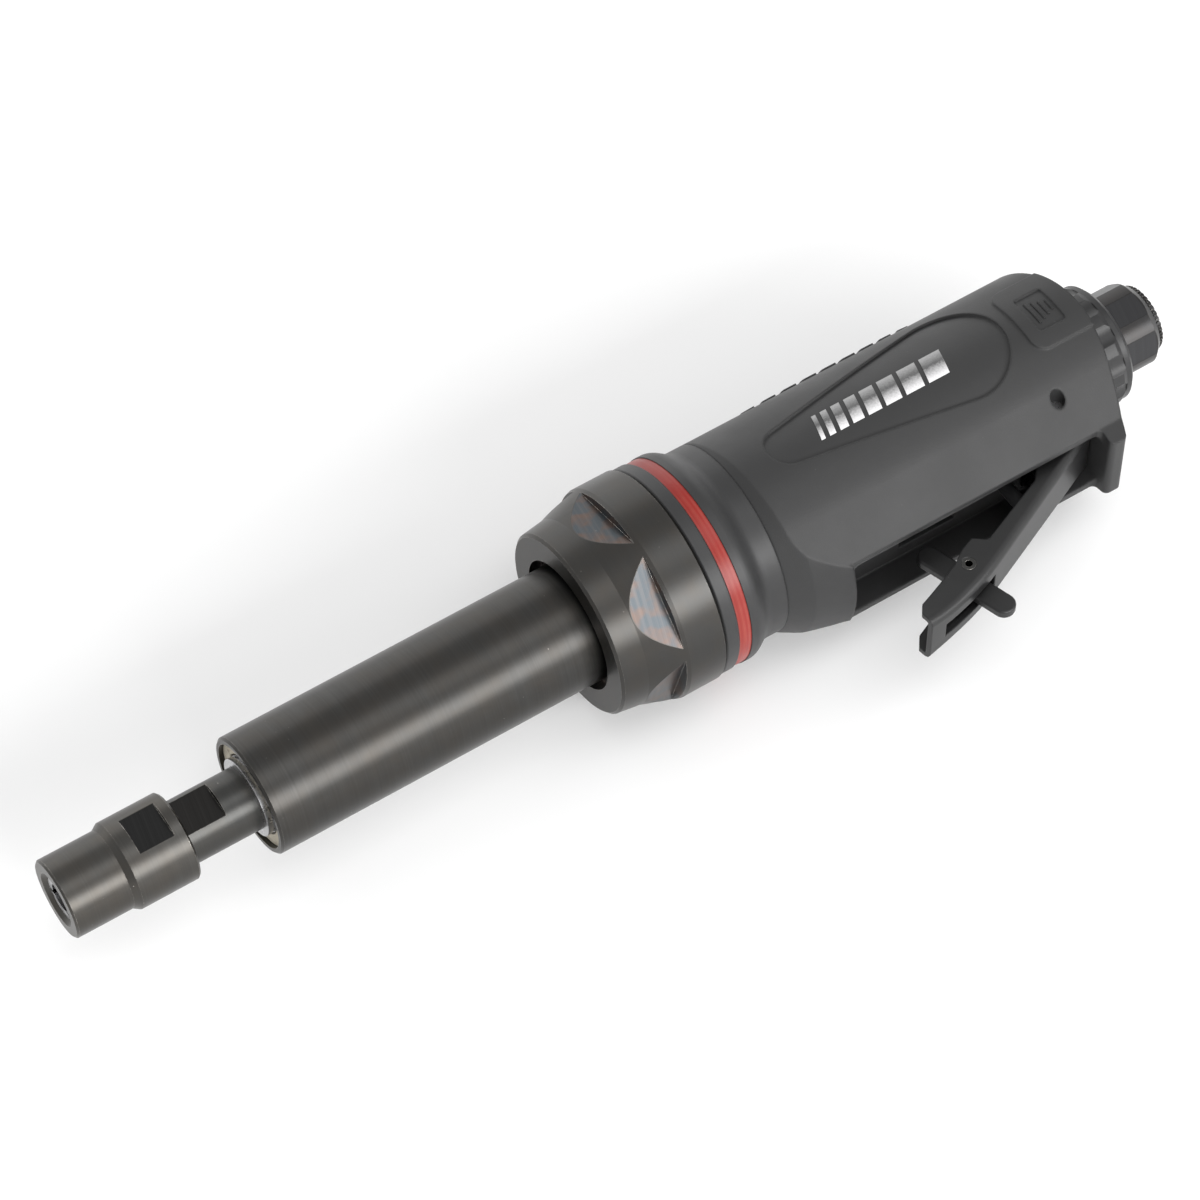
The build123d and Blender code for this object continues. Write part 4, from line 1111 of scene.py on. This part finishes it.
@dataclass
class Studio:
    """Floor, lights, surroundings and camera.

    Attributes:
        azimuth: Camera's direction round the vertical, in degrees.
        elevation: Camera's height angle, in degrees.
        distance: Camera's distance from its target.
        target: Where it looks, along the spindle.
        lens: Focal length, in millimetres.
        shift: Framing shift.
        floor_tone: The floor's colour.
        horizon: Brightness of the surroundings at the horizon.
        zenith: Brightness of the surroundings overhead.
    """

    azimuth: float = -33.27
    elevation: float = 54.89
    distance: float = 0.924
    target: float = 134.14 * MM
    lens: float = 136.05
    shift: tuple[float, float] = (-0.02725, -0.008)
    floor_tone: Colour = (0.92, 0.92, 0.92)
    horizon: float = 0.7
    zenith: float = 0.06

    def build(self) -> None:
        """Sets up the whole studio."""
        self.lay_floor()
        self.hang_lights()
        self.light_surroundings()
        self.place_camera()

    def lay_floor(self) -> None:
        """Lays the pale floor under the tool."""
        body = bmesh.new()
        bmesh.ops.create_grid(body, x_segments=2, y_segments=2, size=4.0)
        bmesh.ops.translate(body, verts=body.verts, vec=(0, 0, cad_box[0][2]))
        mesh = bpy.data.meshes.new("studio_floor")
        body.to_mesh(mesh)
        body.free()
        paint = bpy.data.materials.new("pale_floor")
        paint.use_nodes = True
        graph = Graph(paint.node_tree)
        surface = paint.node_tree.nodes["Principled BSDF"]
        place = graph.add("TexCoord").outputs["Object"]
        cloud = graph.noise(place, 1.5, 2.0)
        graph.feed(surface.inputs["Base Color"],
                   graph.mix(cloud, self.floor_tone, tuple(channel * 0.98 for channel in self.floor_tone)))
        surface.inputs["Roughness"].default_value = 0.7
        mesh.materials.append(paint)
        floor = bpy.data.objects.new("studio_floor", mesh)
        bpy.context.scene.collection.objects.link(floor)

    def hang_lights(self) -> None:
        """Hangs the key strip, the fill strip and the back wall light."""
        for light in (
            Softbox("key_strip", 153.6, 0.80, 0.42, 1.10, 0.34, 7.0),
            Softbox("fill_strip", 106.0, 1.00, 0.45, 1.10, 0.42, 1.5),
            Softbox("back_wall", 22.0, 1.05, 0.40, 2.40, 0.85, 1.0),
        ):
            light.build()

    def light_surroundings(self) -> None:
        """Fills the surroundings from a pale horizon to a dark zenith, and shows white behind the floor."""
        world = bpy.data.worlds.new("studio")
        world.use_nodes = True
        world.node_tree.nodes.clear()
        graph = Graph(world.node_tree)
        _, _, z = graph.axes(graph.add("TexCoord").outputs["Generated"])
        level = graph.remap(z, 0.12, 0.5, self.horizon, self.zenith)
        shown = graph.blend(graph.add("LightPath").outputs["Is Camera Ray"], level, 0.9)
        sky = graph.add("Background")
        graph.feed(sky.inputs["Strength"], shown)
        graph.feed(graph.add("OutputWorld").inputs["Surface"], sky.outputs[0])
        bpy.context.scene.world = world

    def place_camera(self) -> None:
        """Places the camera and picks the plain view transform."""
        lens = bpy.data.cameras.new("camera")
        lens.sensor_width, lens.lens = 36.0, self.lens
        lens.shift_x, lens.shift_y = self.shift
        lens.clip_start, lens.clip_end = 0.01, 20.0
        camera = bpy.data.objects.new("camera", lens)
        turn, rise = math.radians(self.azimuth), math.radians(self.elevation)
        back = Vector((math.sin(turn) * math.cos(rise), -math.cos(turn) * math.cos(rise), math.sin(rise)))
        right = Vector((0, 0, 1)).cross(back).normalized()
        basis = Matrix((right, back.cross(right), back)).transposed().to_4x4()
        camera.matrix_world = Matrix.Translation(Vector((self.target, 0, 0)) + back * self.distance) @ basis
        bpy.context.scene.collection.objects.link(camera)
        bpy.context.scene.camera = camera
        bpy.context.scene.view_settings.view_transform = "Standard"


def main() -> None:
    """Builds every sub-assembly and the studio, in order."""
    logging.basicConfig(level=logging.INFO, format="%(message)s")
    for assembly in (SpindleNose(), BarrelStack(), VaneMotor(), Handle(), Throttle(), AirInlet(), Studio()):
        LOG.info("building %s", type(assembly).__name__)
        assembly.build()


if __name__ == "__main__":
    main()
